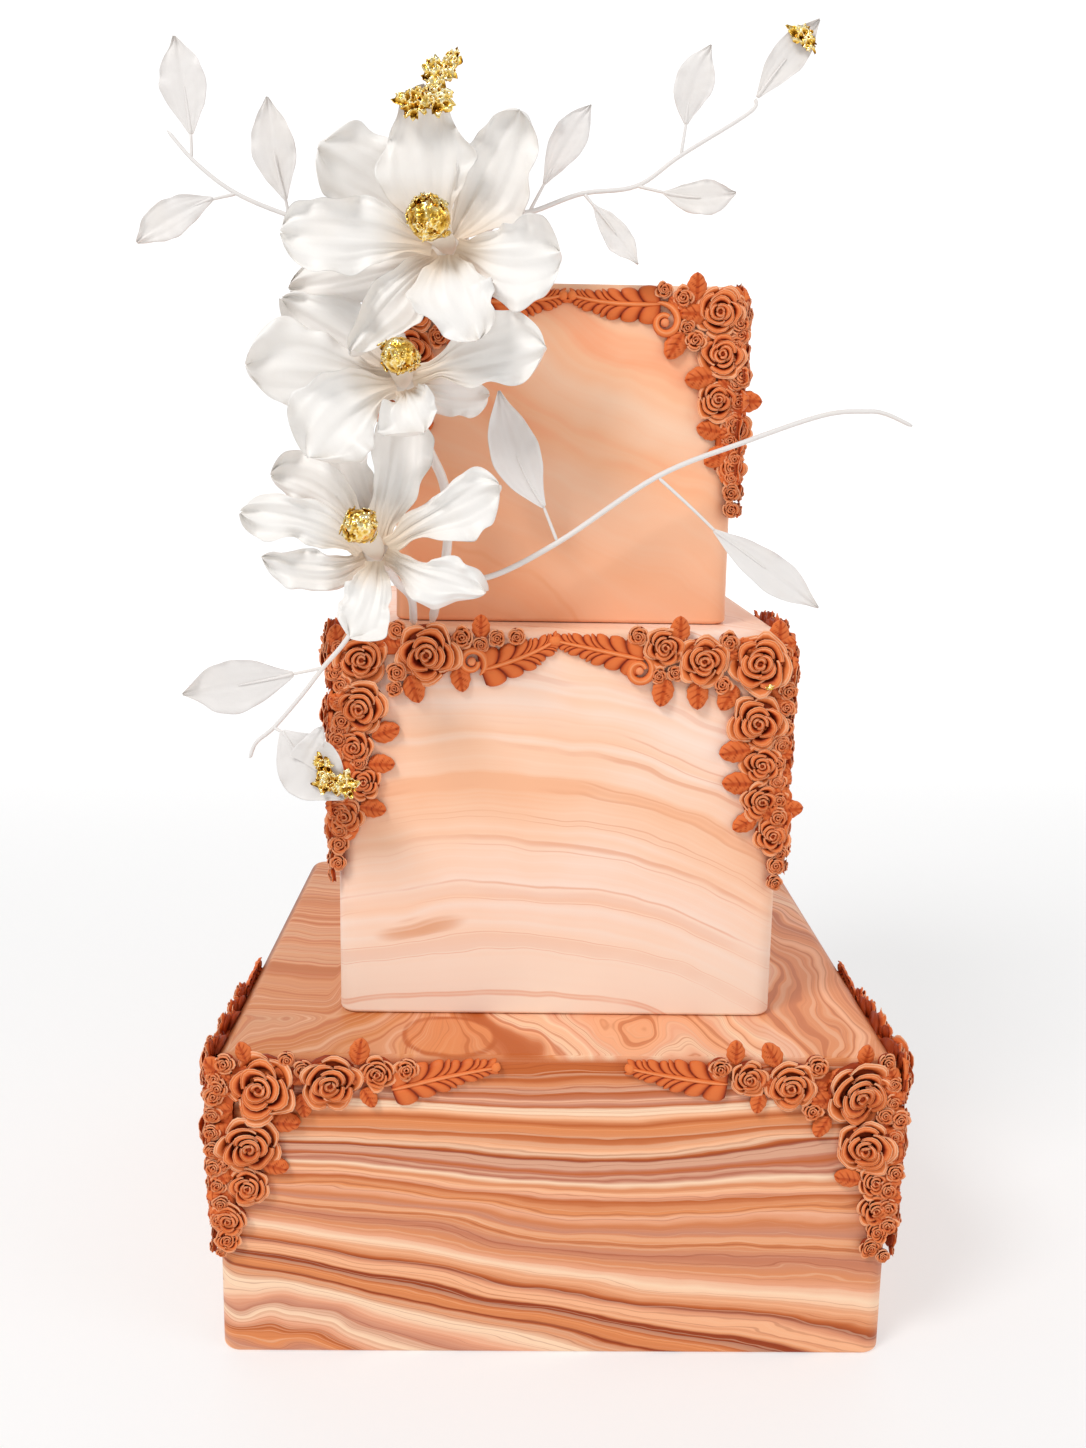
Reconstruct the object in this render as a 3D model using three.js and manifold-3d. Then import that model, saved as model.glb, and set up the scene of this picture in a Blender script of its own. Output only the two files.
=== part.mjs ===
// A three-tier square wedding cake in marbled fondant. Moulded garlands of roses wrap the two front
// corners of each tier, and three white magnolias with gilded centres stand on wires up the left.
// Millimetres, +Z up, the front towards -Y, the origin at the centre of the underside.

import * as THREE from 'three';
import { mergeVertices } from 'three/addons/utils/BufferGeometryUtils.js';
import Module from 'manifold-3d';

const wasm = await Module();
wasm.setup();

// The tiers: 12, 8 and 6 inch square cakes, each of several layers under fondant
const TIERS = {
  bottom: { width: 305, height: 145, colour: 0xc9926b },
  middle: { width: 206, height: 185, colour: 0xf4c6a4 },
  top: { width: 156, height: 153.5, colour: 0xf0a878 },
};
const GAP = 0.3;
const CORNER_RADIUS = 9;
const EDGE_RADIUS = 7;
const BASE_RADIUS = 2;
const TIER_CORNER_STEPS = 3;
const TIER_EDGE_STEPS = 3;

// Moulded garlands. Each face of a corner has roses [s, d, radius] and leaves [s, d, length, angle],
// with s from the corner, d down from the tier's top edge, and the angle turning up from "away from
// the corner". A scroll runs along the edge between two places. The smallest buds are left to looks.
const GARLAND_COLOUR = 0xc8683c;
const BACKING_THICK = 2.2;
const SUNK = 0.7;
const LEAF_THICK = 1.8;
const LEAF_TUCK = 6;
const SCROLL_THICK = 3.2;
const FULL_ROSE = { from: 6, sides: 6, profile: [[1, 0], [0.88, 0.3], [0.4, 0.45]] };
const BUD = { sides: 5, profile: [[1, 0], [0.6, 0.6]] };
const FACES = {
  bottom_left: {
    roses: [[22, 13, 14.5], [52, 10, 12.5], [16, 40, 13], [74, 6, 7.5], [15, 61, 8.7], [6, 77, 7.8],
      [5, 88, 5.3], [86, 5, 4.8], [35, 0, 4], [4, 8, 4.4], [4, 50, 4]],
    leaves: [[14, -3, 9, 110], [65, -4, 11, 80], [68, 18, 9, 300], [40, 22, 11, 280], [32, 30, 12, 0],
      [26, 51, 11, 350]],
    scroll: { from: [76, 12], to: [125, 4], width: 18 },
    drop: 90,
  },
  bottom_right: {
    roses: [[19, 13, 14.5], [49, 10, 11], [14, 39, 12.5], [69, 7, 8], [9, 57, 7.5], [8, 70, 7.7],
      [6, 82, 5.1],
      [80, 3, 4.6], [36, 2, 5], [38, 20, 4.3], [5, 1, 4]],
    leaves: [[72, -4, 10, 90], [58, -3, 11, 60], [63, 18, 9, 280], [34, 18, 12, 0], [33, 29, 10, 300],
      [20, 55, 11, 10]],
    scroll: { from: [72, 11], to: [121, 4], width: 18 },
    drop: 90,
  },
  middle_left: {
    roses: [[42, 11, 13.3], [12, 14, 11.4], [12, 36, 11.5], [9, 55, 8.4], [12, 71, 7.6], [5, 87, 8.3],
      [2, 103, 5], [28, 2, 4.2], [28, 20, 4.5], [58, 5, 4.7], [1, 25, 4]],
    leaves: [[6, 25, 10, 100], [22, 48, 12, 20], [20, 62, 11, 0], [17, 83, 11, 350], [36, 27, 12, 290],
      [57, 22, 11, 280], [66, 0, 10, 90]],
    scroll: { from: [60, 13], to: [101, 6], width: 17 },
    drop: 108,
  },
  middle_right: {
    roses: [[13, 14, 12.9], [13, 41, 12.1], [39, 13, 10.8], [57, 8, 8.8], [10, 61, 8.9], [10, 78, 8.9],
      [4, 95, 8.3],
      [69, 4, 4.5], [28, 4, 4.5], [30, 24, 4.1], [3, 109, 4.6]],
    leaves: [[57, 26, 12, 280], [41, 28, 12, 270], [26, 30, 12, 300], [50, -1, 11, 90], [22, 55, 13, 350],
      [20, 70, 13, 0], [17, 88, 11, 330]],
    scroll: { from: [64, 14], to: [102, 6], width: 17 },
    drop: 112,
  },
  top_left: {
    roses: [[9, 12, 10.5], [7, 31, 9.9], [9, 51, 8.8], [3, 64, 6.8], [2, 81, 7], [33, 6, 4.4], [24, 8, 5.5],
      [20, 24, 4.5], [-1, 41, 4.6], [1, 92, 4.4]],
    leaves: [[18, -1, 11, 90], [22, 13, 12, 0], [27, 25, 12, 300], [17, 41, 13, 350], [12, 63, 11, 10],
      [8, 75, 12, 330]],
    scroll: { from: [33, 11], to: [76, 7], width: 15 },
    drop: 95,
  },
  top_right: {
    roses: [[9, 12, 10.5], [7, 31, 9.9], [9, 51, 8.8], [3, 64, 6.8], [2, 81, 7], [33, 5, 4.2], [25, 7, 5.2],
      [20, 25, 4.5], [-1, 40, 5], [1, 92, 4.4]],
    leaves: [[19, 0, 11, 90], [21, 13, 12, 0], [28, 26, 12, 300], [17, 41, 13, 350], [12, 63, 11, 10],
      [8, 75, 12, 330]],
    scroll: { from: [32, 11], to: [76, 7], width: 15 },
    drop: 95,
  },
};

// Magnolias. Every petal is a path from its root over its middle to its tip, from the flower's
// own centre. Widest is where along the path it is widest, end the width left at the tip.
const PETAL_COLOUR = 0xf4efea;
const GOLD_COLOUR = 0xd9a93a;
const PETAL_THICK = 1.2;
const PETAL_ROOT_WIDTH = 3.4;
const PETAL_CURL = { round: 0.45, ripple: 1.4, waves: 3 };
const PETAL_GRID = [4, 6];
const MIDDLE_SIDES = 7;
const NECK = { profile: [[-7, 2.6], [5, 3]], socket: 0.62, below: 0.9 };
const BALL_LIFTS = [-25, 20, 60];
const FLOWERS = {
  upper: {
    centre: [-52, -108, 494],
    ball: { offset: [-7, -20, 8], radius: 9 },
    petals: {
      top: { path: [[-4, -2, 4], [-9, -4, 31], [-10, -6, 57]],
        width: 35, widest: 0.74, end: 0.45, cup: 0.1 },
      upper_right: { path: [[2, 0, 4], [17, 0, 28], [30, -5, 53]],
        width: 35, widest: 0.62, end: 0.45, cup: 0.16 },
      upper_left: { path: [[-4, 2, 4], [-28, 3, 24], [-55, -2, 38]],
        width: 36, widest: 0.66, end: 0.5, cup: 0.14 },
      left: { path: [[-7, -7, -1], [-36, -14, 1], [-67, -15, 2]],
        width: 33, widest: 0.66, end: 0.55, cup: 0.08 },
      lower_left: { path: [[-4, -1, -5], [-21, -10, -22], [-40, -20, -46]],
        width: 28, widest: 0.5, end: 0.3, cup: 0.1 },
      front: { path: [[0, -7, -5], [4, -22, -21], [14, -26, -39]],
        width: 36, widest: 0.62, end: 0.5, cup: 0.1 },
      right: { path: [[4, -4, -1], [26, -14, -6], [47, -16, -4]],
        width: 37, widest: 0.68, end: 0.5, cup: 0.14 },
      back_left: { path: [[-5, 6, -2], [-34, 8, -10], [-69, 8, -18]],
        width: 24, widest: 0.6, end: 0.5, cup: 0.05 },
    },
  },
  middle: {
    centre: [-71, -114, 438],
    ball: { offset: [0, -20, 9], radius: 7.7 },
    petals: {
      left: { path: [[-5, -2, 1], [-30, -6, 3], [-64, -10, 4]],
        width: 39, widest: 0.72, end: 0.55, cup: 0.12 },
      upper_left: { path: [[-3, 3, 3], [-24, 3, 19], [-51, 4, 33]],
        width: 30, widest: 0.6, end: 0.4, cup: 0.1 },
      lower_left: { path: [[-3, -5, -3], [-21, -18, -14], [-37, -22, -33]],
        width: 36, widest: 0.62, end: 0.5, cup: 0.1 },
      front: { path: [[2, -8, -5], [5, -18, -12], [9, -22, -22]],
        width: 32, widest: 0.85, end: 0.75, cup: 0.08 },
      right: { path: [[4, -3, 1], [32, -8, 9], [61, -12, 14]],
        width: 31, widest: 0.74, end: 0.5, cup: 0.1 },
      lower_right: { path: [[4, 4, -2], [20, 8, -5], [36, 12, -5]],
        width: 19, widest: 0.6, end: 0.6, cup: 0.05 },
      upper: { path: [[-1, 7, 5], [-6, 8, 13], [-11, 10, 25]],
        width: 17, widest: 0.6, end: 0.4, cup: 0.05 },
    },
  },
  lower: {
    centre: [-82, -120, 365],
    ball: { offset: [-5, -20, 12], radius: 7.4 },
    petals: {
      top: { path: [[1, 0, 4], [8, 3, 31], [12, 8, 60]], width: 27, widest: 0.66, end: 0.5, cup: 0.14 },
      right: { path: [[5, -3, 3], [30, -6, 18], [53, -8, 30]],
        width: 29, widest: 0.7, end: 0.5, cup: 0.12 },
      lower_right: { path: [[4, -2, -1], [24, -12, -9], [48, -18, -15]],
        width: 23, widest: 0.62, end: 0.45, cup: 0.08 },
      bottom: { path: [[0, -6, -4], [-2, -18, -19], [-10, -22, -34]],
        width: 23, widest: 0.6, end: 0.85, cup: 0.1 },
      lower_left: { path: [[-5, 0, -3], [-25, -6, -8], [-48, -8, -2]],
        width: 18, widest: 0.55, end: 0.5, cup: 0.08 },
      left: { path: [[-6, -4, 1], [-27, -8, 13], [-56, -8, 17]],
        width: 24, widest: 0.74, end: 0.6, cup: 0.1 },
      upper_left: { path: [[-3, 2, 4], [-23, 2, 25], [-45, 2, 32]],
        width: 25, widest: 0.6, end: 0.5, cup: 0.1 },
      upper: { path: [[-1, 6, 4], [-9, 8, 25], [-18, 8, 45]], width: 21, widest: 0.7, end: 0.5, cup: 0.1 },
    },
  },
};

// A crumpled flake of gold leaf stands on the tip of the upper magnolia's top petal
const FLAKE = {
  path: [[-68, -119, 545], [-60, -121, 557], [-49, -119, 569]],
  width: 13, widest: 0.4, end: 0.5, cup: 0.3, round: 0.2, ripple: 2, waves: 3,
};
const FLAKE_THICK = 1;
const FLAKE_ROOT_WIDTH = 6;
const FLAKE_GRID = [3, 4];

// Wires: one stem carries each magnolia, and four branches carry leaves on short twigs
const STEM_SIDES = 5;
const TWIG_SIDES = 4;
const TWIG_RADIUS = 0.8;
const LEAF_ROOT_WIDTH = 1.8;
const LEAF_FORM = { widest: 0.45, end: 0.12, cup: 0.12, round: 0.3, ripple: 1, waves: 2.4 };
const LEAF_GRID = [2, 5];
const TIER_TOPS = { middle: 330.3 + GAP, top: 484.1 + GAP };
const STEMS = {
  upper: { radius: [1.9, 1.6], path: [[-49, -98, 491], [-49, -88, 494], [-52, -74, 493],
    [-54, -62, TIER_TOPS.top + 1]] },
  middle: {
    radius: [2, 1.7],
    path: [[-71, -105, 434], [-67, -99, 424], [-61, -96, 409], [-54, -94, 392], [-53, -93, 365],
      [-60, -92, TIER_TOPS.middle]],
  },
  lower: { radius: [1.6, 1.4], path: [[-80, -111, 361], [-75, -104, 351], [-69, -97, 343],
    [-68, -94, TIER_TOPS.middle]] },
};
const BRANCHES = {
  top_left: {
    radius: [1.3, 0.8],
    path: [[-55, -92, 494], [-74, -94, 498], [-97, -94, 502], [-120, -94, 507], [-144, -94, 516],
      [-161, -94, 528], [-173, -94, 541]],
    leaves: {
      high: { twig: [[-163, -94, 530], [-163, -94, 541]], blade: [[-165, -95, 559], [-168, -96, 578]],
        width: 20 },
      middle: { twig: [[-122, -94, 508], [-123, -96, 515]], blade: [[-127, -98, 533], [-129, -100, 554]],
        width: 19 },
      low: { twig: [[-144, -94, 516], [-155, -96, 513]], blade: [[-171, -98, 505], [-186, -100, 494]],
        width: 16 },
    },
  },
  top_right: {
    radius: [1.3, 0.8],
    path: [[-46, -92, 495], [-41, -94, 499], [-27, -94, 509], [-15, -92, 512], [5, -88, 520],
      [29, -86, 524], [48, -86, 537], [77, -86, 555], [80, -86, 561]],
    leaves: {
      first: { twig: [[-18, -92, 511], [-11, -92, 524]], blade: [[-2, -93, 540], [8, -94, 555]],
        width: 15 },
      second: { twig: [[6, -88, 520], [11, -90, 514]], blade: [[20, -92, 503], [30, -94, 490]], width: 12 },
      third: { twig: [[29, -86, 524], [42, -88, 521]], blade: [[57, -90, 519], [72, -92, 521]], width: 15 },
      fourth: { twig: [[48, -86, 537], [50, -86, 551]], blade: [[52, -88, 565], [59, -90, 581]],
        width: 17 },
      end: { blade: [[80, -86, 561], [92, -88, 577], [105, -90, 592]], width: 15 },
    },
  },
  middle_right: {
    radius: [1.4, 0.9],
    path: [[-50, -96, 355], [-34, -98, 353], [-3, -98, 369], [41, -98, 399], [80, -98, 415],
      [114, -98, 427], [133, -98, 429], [142, -98, 428], [154, -98, 423]],
    leaves: {
      high: { twig: [[-3, -98, 369], [-10, -99, 386]], blade: [[-22, -99, 407], [-30, -97, 435]],
        width: 22 },
      low: { twig: [[41, -98, 399], [56, -100, 386], [68, -101, 375]], blade: [[91, -102, 359],
        [115, -104, 342]], width: 17 },
    },
  },
  lower_left: {
    radius: [1.2, 0.8],
    path: [[-81, -109, 355], [-88, -115, 340], [-96, -120, 326], [-106, -121, 314], [-116, -121, 301],
      [-128, -121, 287], [-136, -121, 280], [-139, -121, 273]],
    leaves: {
      high: { twig: [[-106, -121, 314], [-120, -122, 311]], blade: [[-143, -123, 306], [-167, -124, 302]],
        width: 24 },
      low: { twig: [[-128, -121, 287], [-123, -124, 285]], blade: [[-112, -128, 272], [-96, -130, 257]],
        width: 29 },
    },
  },
};

const RIPPLE_SHIFT = 1.9;
const DEGREE = Math.PI / 180;
const MERGE = 1e-4;
const SMOOTHING = { garland: 1.3, branch: 0.1 };
const vector = (values) => new THREE.Vector3(...values);
const mix = (a, b, share) => a + (b - a) * share;

// One closed body from rows of points that close on themselves, capped at both ends
function loft(rings) {
  const count = rings[0].length;
  const positions = rings.flat().flatMap((point) => point.toArray());
  const index = [];
  for (let row = 0; row + 1 < rings.length; row++) {
    for (let i = 0; i < count; i++) {
      const next = (i + 1) % count;
      const [a, b] = [row * count + i, row * count + next];
      index.push(a, b, a + count, b, b + count, a + count);
    }
  }
  const last = (rings.length - 1) * count;
  for (let i = 1; i + 1 < count; i++) {
    index.push(0, i + 1, i);
    index.push(last, last + i, last + i + 1);
  }
  return geometryOf(positions, index);
}

// A closed body from points and triangles, turned over if its faces look in
function geometryOf(positions, index) {
  const [a, b, c] = [new THREE.Vector3(), new THREE.Vector3(), new THREE.Vector3()];
  let volume = 0;
  for (let i = 0; i < index.length; i += 3) {
    a.fromArray(positions, 3 * index[i]);
    b.fromArray(positions, 3 * index[i + 1]);
    c.fromArray(positions, 3 * index[i + 2]);
    volume += a.dot(b.cross(c));
  }
  const geometry = new THREE.BufferGeometry();
  geometry.setAttribute('position', new THREE.Float32BufferAttribute(positions, 3));
  geometry.setIndex(volume > 0 ? index : index.toReversed());
  return geometry;
}

function placed(geometry, matrix) {
  const moved = mergeVertices(geometry, MERGE).applyMatrix4(matrix);
  return geometryOf(Array.from(moved.attributes.position.array), Array.from(moved.index.array));
}

function solidOf(geometry) {
  return new wasm.Manifold(new wasm.Mesh({
    numProp: 3,
    vertProperties: new Float32Array(geometry.attributes.position.array),
    triVerts: new Uint32Array(geometry.index.array),
  }));
}

// Pieces fused into one body, without the slivers finer than the smoothing
function joined(geometries, smoothing) {
  const union = wasm.Manifold.union(geometries.map(solidOf)).simplify(smoothing);
  const mesh = union.getMesh();
  return geometryOf(Array.from(mesh.vertProperties), Array.from(mesh.triVerts));
}

function mesh(name, geometry, colour, finish) {
  const material = new THREE.MeshStandardMaterial({ color: colour, ...finish });
  const piece = new THREE.Mesh(geometry, material);
  piece.name = name;
  return piece;
}

// A square block with rounded upright corners and rounded upper and lower edges
function roundedBlock(width, height) {
  const rings = [];
  for (const [radius, centre, start] of [[BASE_RADIUS, BASE_RADIUS, -90],
    [EDGE_RADIUS, height - EDGE_RADIUS, 0]]) {
    for (let step = 0; step <= TIER_EDGE_STEPS; step++) {
      const rise = (start + 90 * step / TIER_EDGE_STEPS) * DEGREE;
      const inset = radius * (1 - Math.cos(rise));
      rings.push(roundedSquare(width, inset, centre + radius * Math.sin(rise)));
    }
  }
  return loft(rings);
}

function roundedSquare(width, inset, z) {
  const reach = width / 2 - CORNER_RADIUS;
  const radius = CORNER_RADIUS - inset;
  const ring = [];
  for (let corner = 0; corner < 4; corner++) {
    const middle = (45 + 90 * corner) * DEGREE;
    const [x, y] = [Math.sign(Math.cos(middle)) * reach, Math.sign(Math.sin(middle)) * reach];
    for (let step = 0; step <= TIER_CORNER_STEPS; step++) {
      const turn = (90 * corner + 90 * step / TIER_CORNER_STEPS) * DEGREE;
      ring.push(new THREE.Vector3(x + radius * Math.cos(turn), y + radius * Math.sin(turn), z));
    }
  }
  return ring;
}

// A round wire along a smooth path, thinner towards its end
function wire(path, radii, sides, stepsPerSpan) {
  const curve = new THREE.CatmullRomCurve3(path.map(vector), false, 'centripetal');
  const steps = stepsPerSpan * (path.length - 1);
  const frames = curve.computeFrenetFrames(steps, false);
  const rings = [];
  for (let step = 0; step <= steps; step++) {
    const share = step / steps;
    const centre = curve.getPointAt(share);
    const radius = mix(radii[0], radii[1], share);
    const ring = [];
    for (let i = 0; i < sides; i++) {
      const turn = 2 * Math.PI * i / sides;
      ring.push(centre.clone()
        .addScaledVector(frames.normals[step], radius * Math.cos(turn))
        .addScaledVector(frames.binormals[step], radius * Math.sin(turn)));
    }
    rings.push(ring);
  }
  return loft(rings);
}

// A thin curved blade. Its outline follows the path, its faces are split into the same triangles,
// and it is thickest along the middle. The cup lifts the sides towards the front.
function bladeWidth(share, { width, widest, end }, rootWidth) {
  if (share < widest) return mix(rootWidth, width, Math.sin(Math.PI / 2 * share / widest) ** 1.3);
  return width * (1 - (1 - end) * ((share - widest) / (1 - widest)) ** 2);
}

function blade(shape, rootWidth, thick, across, along) {
  const [root, middle, tip] = shape.path.map(vector);
  const bend = middle.clone().multiplyScalar(2).addScaledVector(root, -0.5).addScaledVector(tip, -0.5);
  const curve = new THREE.QuadraticBezierCurve3(root, bend, tip);
  const front = new THREE.Vector3(0, -1, 0);
  const faces = [[], []];
  for (let row = 0; row <= along; row++) {
    const share = row / along;
    const tangent = curve.getTangent(share);
    const normal = front.clone().addScaledVector(tangent, -front.dot(tangent)).normalize();
    const side = tangent.clone().cross(normal);
    const half = bladeWidth(share, shape, rootWidth) / 2;
    for (let column = 0; column <= across; column++) {
      const s = 2 * column / across - 1;
      const phase = shape.waves * Math.PI * share + (s > 0 ? RIPPLE_SHIFT : 0);
      const ripple = shape.ripple * Math.sin(phase) * s * s * share;
      const centre = curve.getPoint(share)
        .addScaledVector(side, s * half)
        .addScaledVector(tangent, -shape.round * half * s * s * share ** 4)
        .addScaledVector(normal, shape.cup * half * s * s + ripple);
      const halfThick = thick / 2 * (1 - 0.5 * Math.abs(s));
      faces[0].push(centre.clone().addScaledVector(normal, halfThick));
      faces[1].push(centre.clone().addScaledVector(normal, -halfThick));
    }
  }
  return bladeSolid(faces, across, along);
}

function bladeSolid(faces, across, along) {
  const positions = faces.flat().flatMap((point) => point.toArray());
  const back = faces[0].length;
  const index = [];
  const at = (row, column) => row * (across + 1) + column;
  const quad = (a, b, c, d) => index.push(a, b, c, a, c, d);
  for (let row = 0; row < along; row++) {
    for (let column = 0; column < across; column++) {
      const [a, b] = [at(row, column), at(row, column + 1)];
      const [c, d] = [at(row + 1, column + 1), at(row + 1, column)];
      quad(d, c, b, a);
      quad(a + back, b + back, c + back, d + back);
    }
    const [left, leftNext] = [at(row, 0), at(row + 1, 0)];
    const [right, rightNext] = [at(row, across), at(row + 1, across)];
    quad(left, left + back, leftNext + back, leftNext);
    quad(rightNext, rightNext + back, right + back, right);
  }
  for (let column = 0; column < across; column++) {
    const [a, b] = [at(0, column), at(0, column + 1)];
    const [c, d] = [at(along, column), at(along, column + 1)];
    quad(a, b, b + back, a + back);
    quad(d, c, c + back, d + back);
  }
  return geometryOf(positions, index);
}

// The middle of a magnolia: a cream neck that swells under a ball covered in crumpled gold leaf
function flowerMiddle({ centre, ball }) {
  const sides = MIDDLE_SIDES;
  const reach = vector(ball.offset).length();
  const profile = [...NECK.profile, [reach - ball.radius * NECK.below, ball.radius * NECK.socket]];
  for (const lift of BALL_LIFTS) {
    profile.push([reach + ball.radius * Math.sin(lift * DEGREE), ball.radius * Math.cos(lift * DEGREE)]);
  }
  const turn = new THREE.Quaternion().setFromUnitVectors(new THREE.Vector3(0, 0, 1),
    vector(ball.offset).normalize());
  const rings = profile.map(([along, radius]) => Array.from({ length: sides }, (_, i) => {
    const angle = 2 * Math.PI * i / sides;
    return new THREE.Vector3(radius * Math.cos(angle), radius * Math.sin(angle), along)
      .applyQuaternion(turn).add(vector(centre));
  }));
  return loft(rings);
}

// The moulded pieces lie on a face: x from the corner, y out of the face, z up from the top edge
function mouldedRose([s, d, radius]) {
  const { sides, profile } = radius < FULL_ROSE.from ? BUD : FULL_ROSE;
  return loft(profile.map(([share, height]) => Array.from({ length: sides }, (_, i) => {
    const angle = 2 * Math.PI * (i + 0.5) / sides;
    return new THREE.Vector3(s + share * radius * Math.cos(angle), GAP + SUNK + height * radius,
      -d + share * radius * Math.sin(angle));
  })));
}

function mouldedLeaf([s, d, length, angle]) {
  const half = length / 2;
  const [along, across] = [[Math.cos(angle * DEGREE), Math.sin(angle * DEGREE)],
    [-Math.sin(angle * DEGREE), Math.cos(angle * DEGREE)]];
  const outline = [[-half - LEAF_TUCK, 0], [0, -0.32 * length], [half, 0], [0, 0.32 * length]];
  const ring = (share, height) => outline.map(([u, v]) => new THREE.Vector3(
    s + share * (u * along[0] + v * across[0]), height, -d + share * (u * along[1] + v * across[1])));
  return loft([ring(1, GAP + SUNK), ring(0.75, GAP + SUNK + LEAF_THICK)]);
}

// A tapering acanthus scroll, its upper and lower edges cut into lobes
function scroll({ from, to, width }) {
  const lobes = 3;
  const upper = [];
  const lower = [];
  for (let i = 0; i < lobes; i++) {
    for (const [step, fullness] of [[0.15, 0.62], [0.75, 1]]) {
      const share = (i + step) / lobes;
      const half = width / 2 * fullness * (1 - 0.75 * share);
      const [x, z] = [mix(from[0], to[0], share), -mix(from[1], to[1], share)];
      upper.push(new THREE.Vector2(x, z + half));
      lower.unshift(new THREE.Vector2(x, z - half));
    }
  }
  const outline = [...lower, new THREE.Vector2(from[0], -from[1] - width / 4),
    new THREE.Vector2(from[0], -from[1] + width / 4), ...upper, new THREE.Vector2(to[0], -to[1])];
  const flat = new THREE.ExtrudeGeometry(new THREE.Shape(outline), { depth: SCROLL_THICK,
    bevelEnabled: false });
  const upright = new THREE.Matrix4().makeBasis(new THREE.Vector3(1, 0, 0), new THREE.Vector3(0, 0, 1),
    new THREE.Vector3(0, -1, 0));
  const standing = placed(positionsOnly(flat), upright);
  return standing.translate(0, GAP + SCROLL_THICK, 0);
}

function positionsOnly(geometry) {
  const bare = new THREE.BufferGeometry();
  bare.setAttribute('position', geometry.attributes.position);
  return bare;
}

// The backing joins the pieces: one strip down the corner and one along the top edge
function backing(face) {
  const strip = (outline) => loft([GAP, GAP + BACKING_THICK].map((height) =>
    outline.map(([s, d]) => new THREE.Vector3(s, height, -d))));
  const over = -(GAP + BACKING_THICK);
  return [
    strip([[over, face.drop], [over, 0], [12, 0], [12, face.drop * 0.6], [5, face.drop]]),
    strip([[over, 14], [over, 3], [face.scroll.from[0] + 3, 3], [face.scroll.from[0] + 3, 14]]),
  ];
}

function mouldedFace(face) {
  return [
    ...face.roses.map(mouldedRose),
    ...face.leaves.map(mouldedLeaf),
    scroll(face.scroll),
    ...backing(face),
  ];
}

// A garland wraps one upright corner: the front face and the side face beside it
function garland(tier, top, sideways) {
  const half = TIERS[tier].width / 2;
  const ownSide = sideways < 0 ? 'left' : 'right';
  const otherSide = sideways < 0 ? 'right' : 'left';
  const onFront = new THREE.Matrix4().makeBasis(new THREE.Vector3(-sideways, 0, 0),
    new THREE.Vector3(0, -1, 0), new THREE.Vector3(0, 0, 1));
  const onSide = new THREE.Matrix4().makeBasis(new THREE.Vector3(0, 1, 0),
    new THREE.Vector3(sideways, 0, 0), new THREE.Vector3(0, 0, 1));
  const pieces = [];
  for (const [face, turn] of [[ownSide, onFront], [otherSide, onSide]]) {
    turn.setPosition(sideways * half, -half, top);
    pieces.push(...mouldedFace(FACES[`${tier}_${face}`]).map((piece) => placed(piece, turn)));
  }
  return joined(pieces, SMOOTHING.garland);
}

function branchWires(branch) {
  const twigs = Object.values(branch.leaves).filter((leaf) => leaf.twig)
    .map((leaf) => wire(leaf.twig, [TWIG_RADIUS, TWIG_RADIUS * 0.8], TWIG_SIDES, 1));
  return joined([wire(branch.path, branch.radius, STEM_SIDES, 1), ...twigs], SMOOTHING.branch);
}

// A leaf starts just clear of its twig and runs on in the same line
function leafShape({ twig, blade: points, width }) {
  const path = twig ? [twig[twig.length - 1], ...points] : points;
  const along = vector(path[1]).sub(vector(path[0])).normalize();
  const start = vector(path[0]).addScaledVector(along, 2 * GAP);
  return { path: [start.toArray(), ...path.slice(1)], width, ...LEAF_FORM };
}

const cake = new THREE.Group();
let base = 0;
for (const [tier, { width, height, colour }] of Object.entries(TIERS)) {
  cake.add(mesh(`tier_${tier}`, roundedBlock(width, height).translate(0, 0, base), colour,
    { roughness: 0.6 }));
  for (const [side, sideways] of [['left', -1], ['right', 1]]) {
    const form = garland(tier, base + height, sideways);
    cake.add(mesh(`garland_${tier}_${side}`, form, GARLAND_COLOUR, { roughness: 0.55 }));
  }
  base += height + GAP;
}
for (const [name, flower] of Object.entries(FLOWERS)) {
  cake.add(mesh(`magnolia_${name}_centre`, flowerMiddle(flower), GOLD_COLOUR, { roughness: 0.3,
    metalness: 1 }));
  for (const [petal, shape] of Object.entries(flower.petals)) {
    const full = { ...shape, ...PETAL_CURL };
    const form = blade(full, PETAL_ROOT_WIDTH, PETAL_THICK, ...PETAL_GRID).translate(...flower.centre);
    cake.add(mesh(`magnolia_${name}_petal_${petal}`, form, PETAL_COLOUR, { roughness: 0.5 }));
  }
}
cake.add(mesh('magnolia_upper_gold_flake', blade(FLAKE, FLAKE_ROOT_WIDTH, FLAKE_THICK, ...FLAKE_GRID), GOLD_COLOUR,
  { roughness: 0.3, metalness: 1 }));
for (const [name, { radius, path }] of Object.entries(STEMS)) {
  cake.add(mesh(`stem_${name}`, wire(path, radius, STEM_SIDES, 2), PETAL_COLOUR, { roughness: 0.5 }));
}
for (const [name, branch] of Object.entries(BRANCHES)) {
  cake.add(mesh(`branch_${name}`, branchWires(branch), PETAL_COLOUR, { roughness: 0.5 }));
  for (const [leaf, shape] of Object.entries(branch.leaves)) {
    const form = blade(leafShape(shape), LEAF_ROOT_WIDTH, PETAL_THICK, ...LEAF_GRID);
    cake.add(mesh(`leaf_${name}_${leaf}`, form, PETAL_COLOUR, { roughness: 0.5 }));
  }
}

export default cake;
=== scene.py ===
import math
import random

import bpy
import numpy as np
from mathutils import Matrix, Vector, noise


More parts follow.
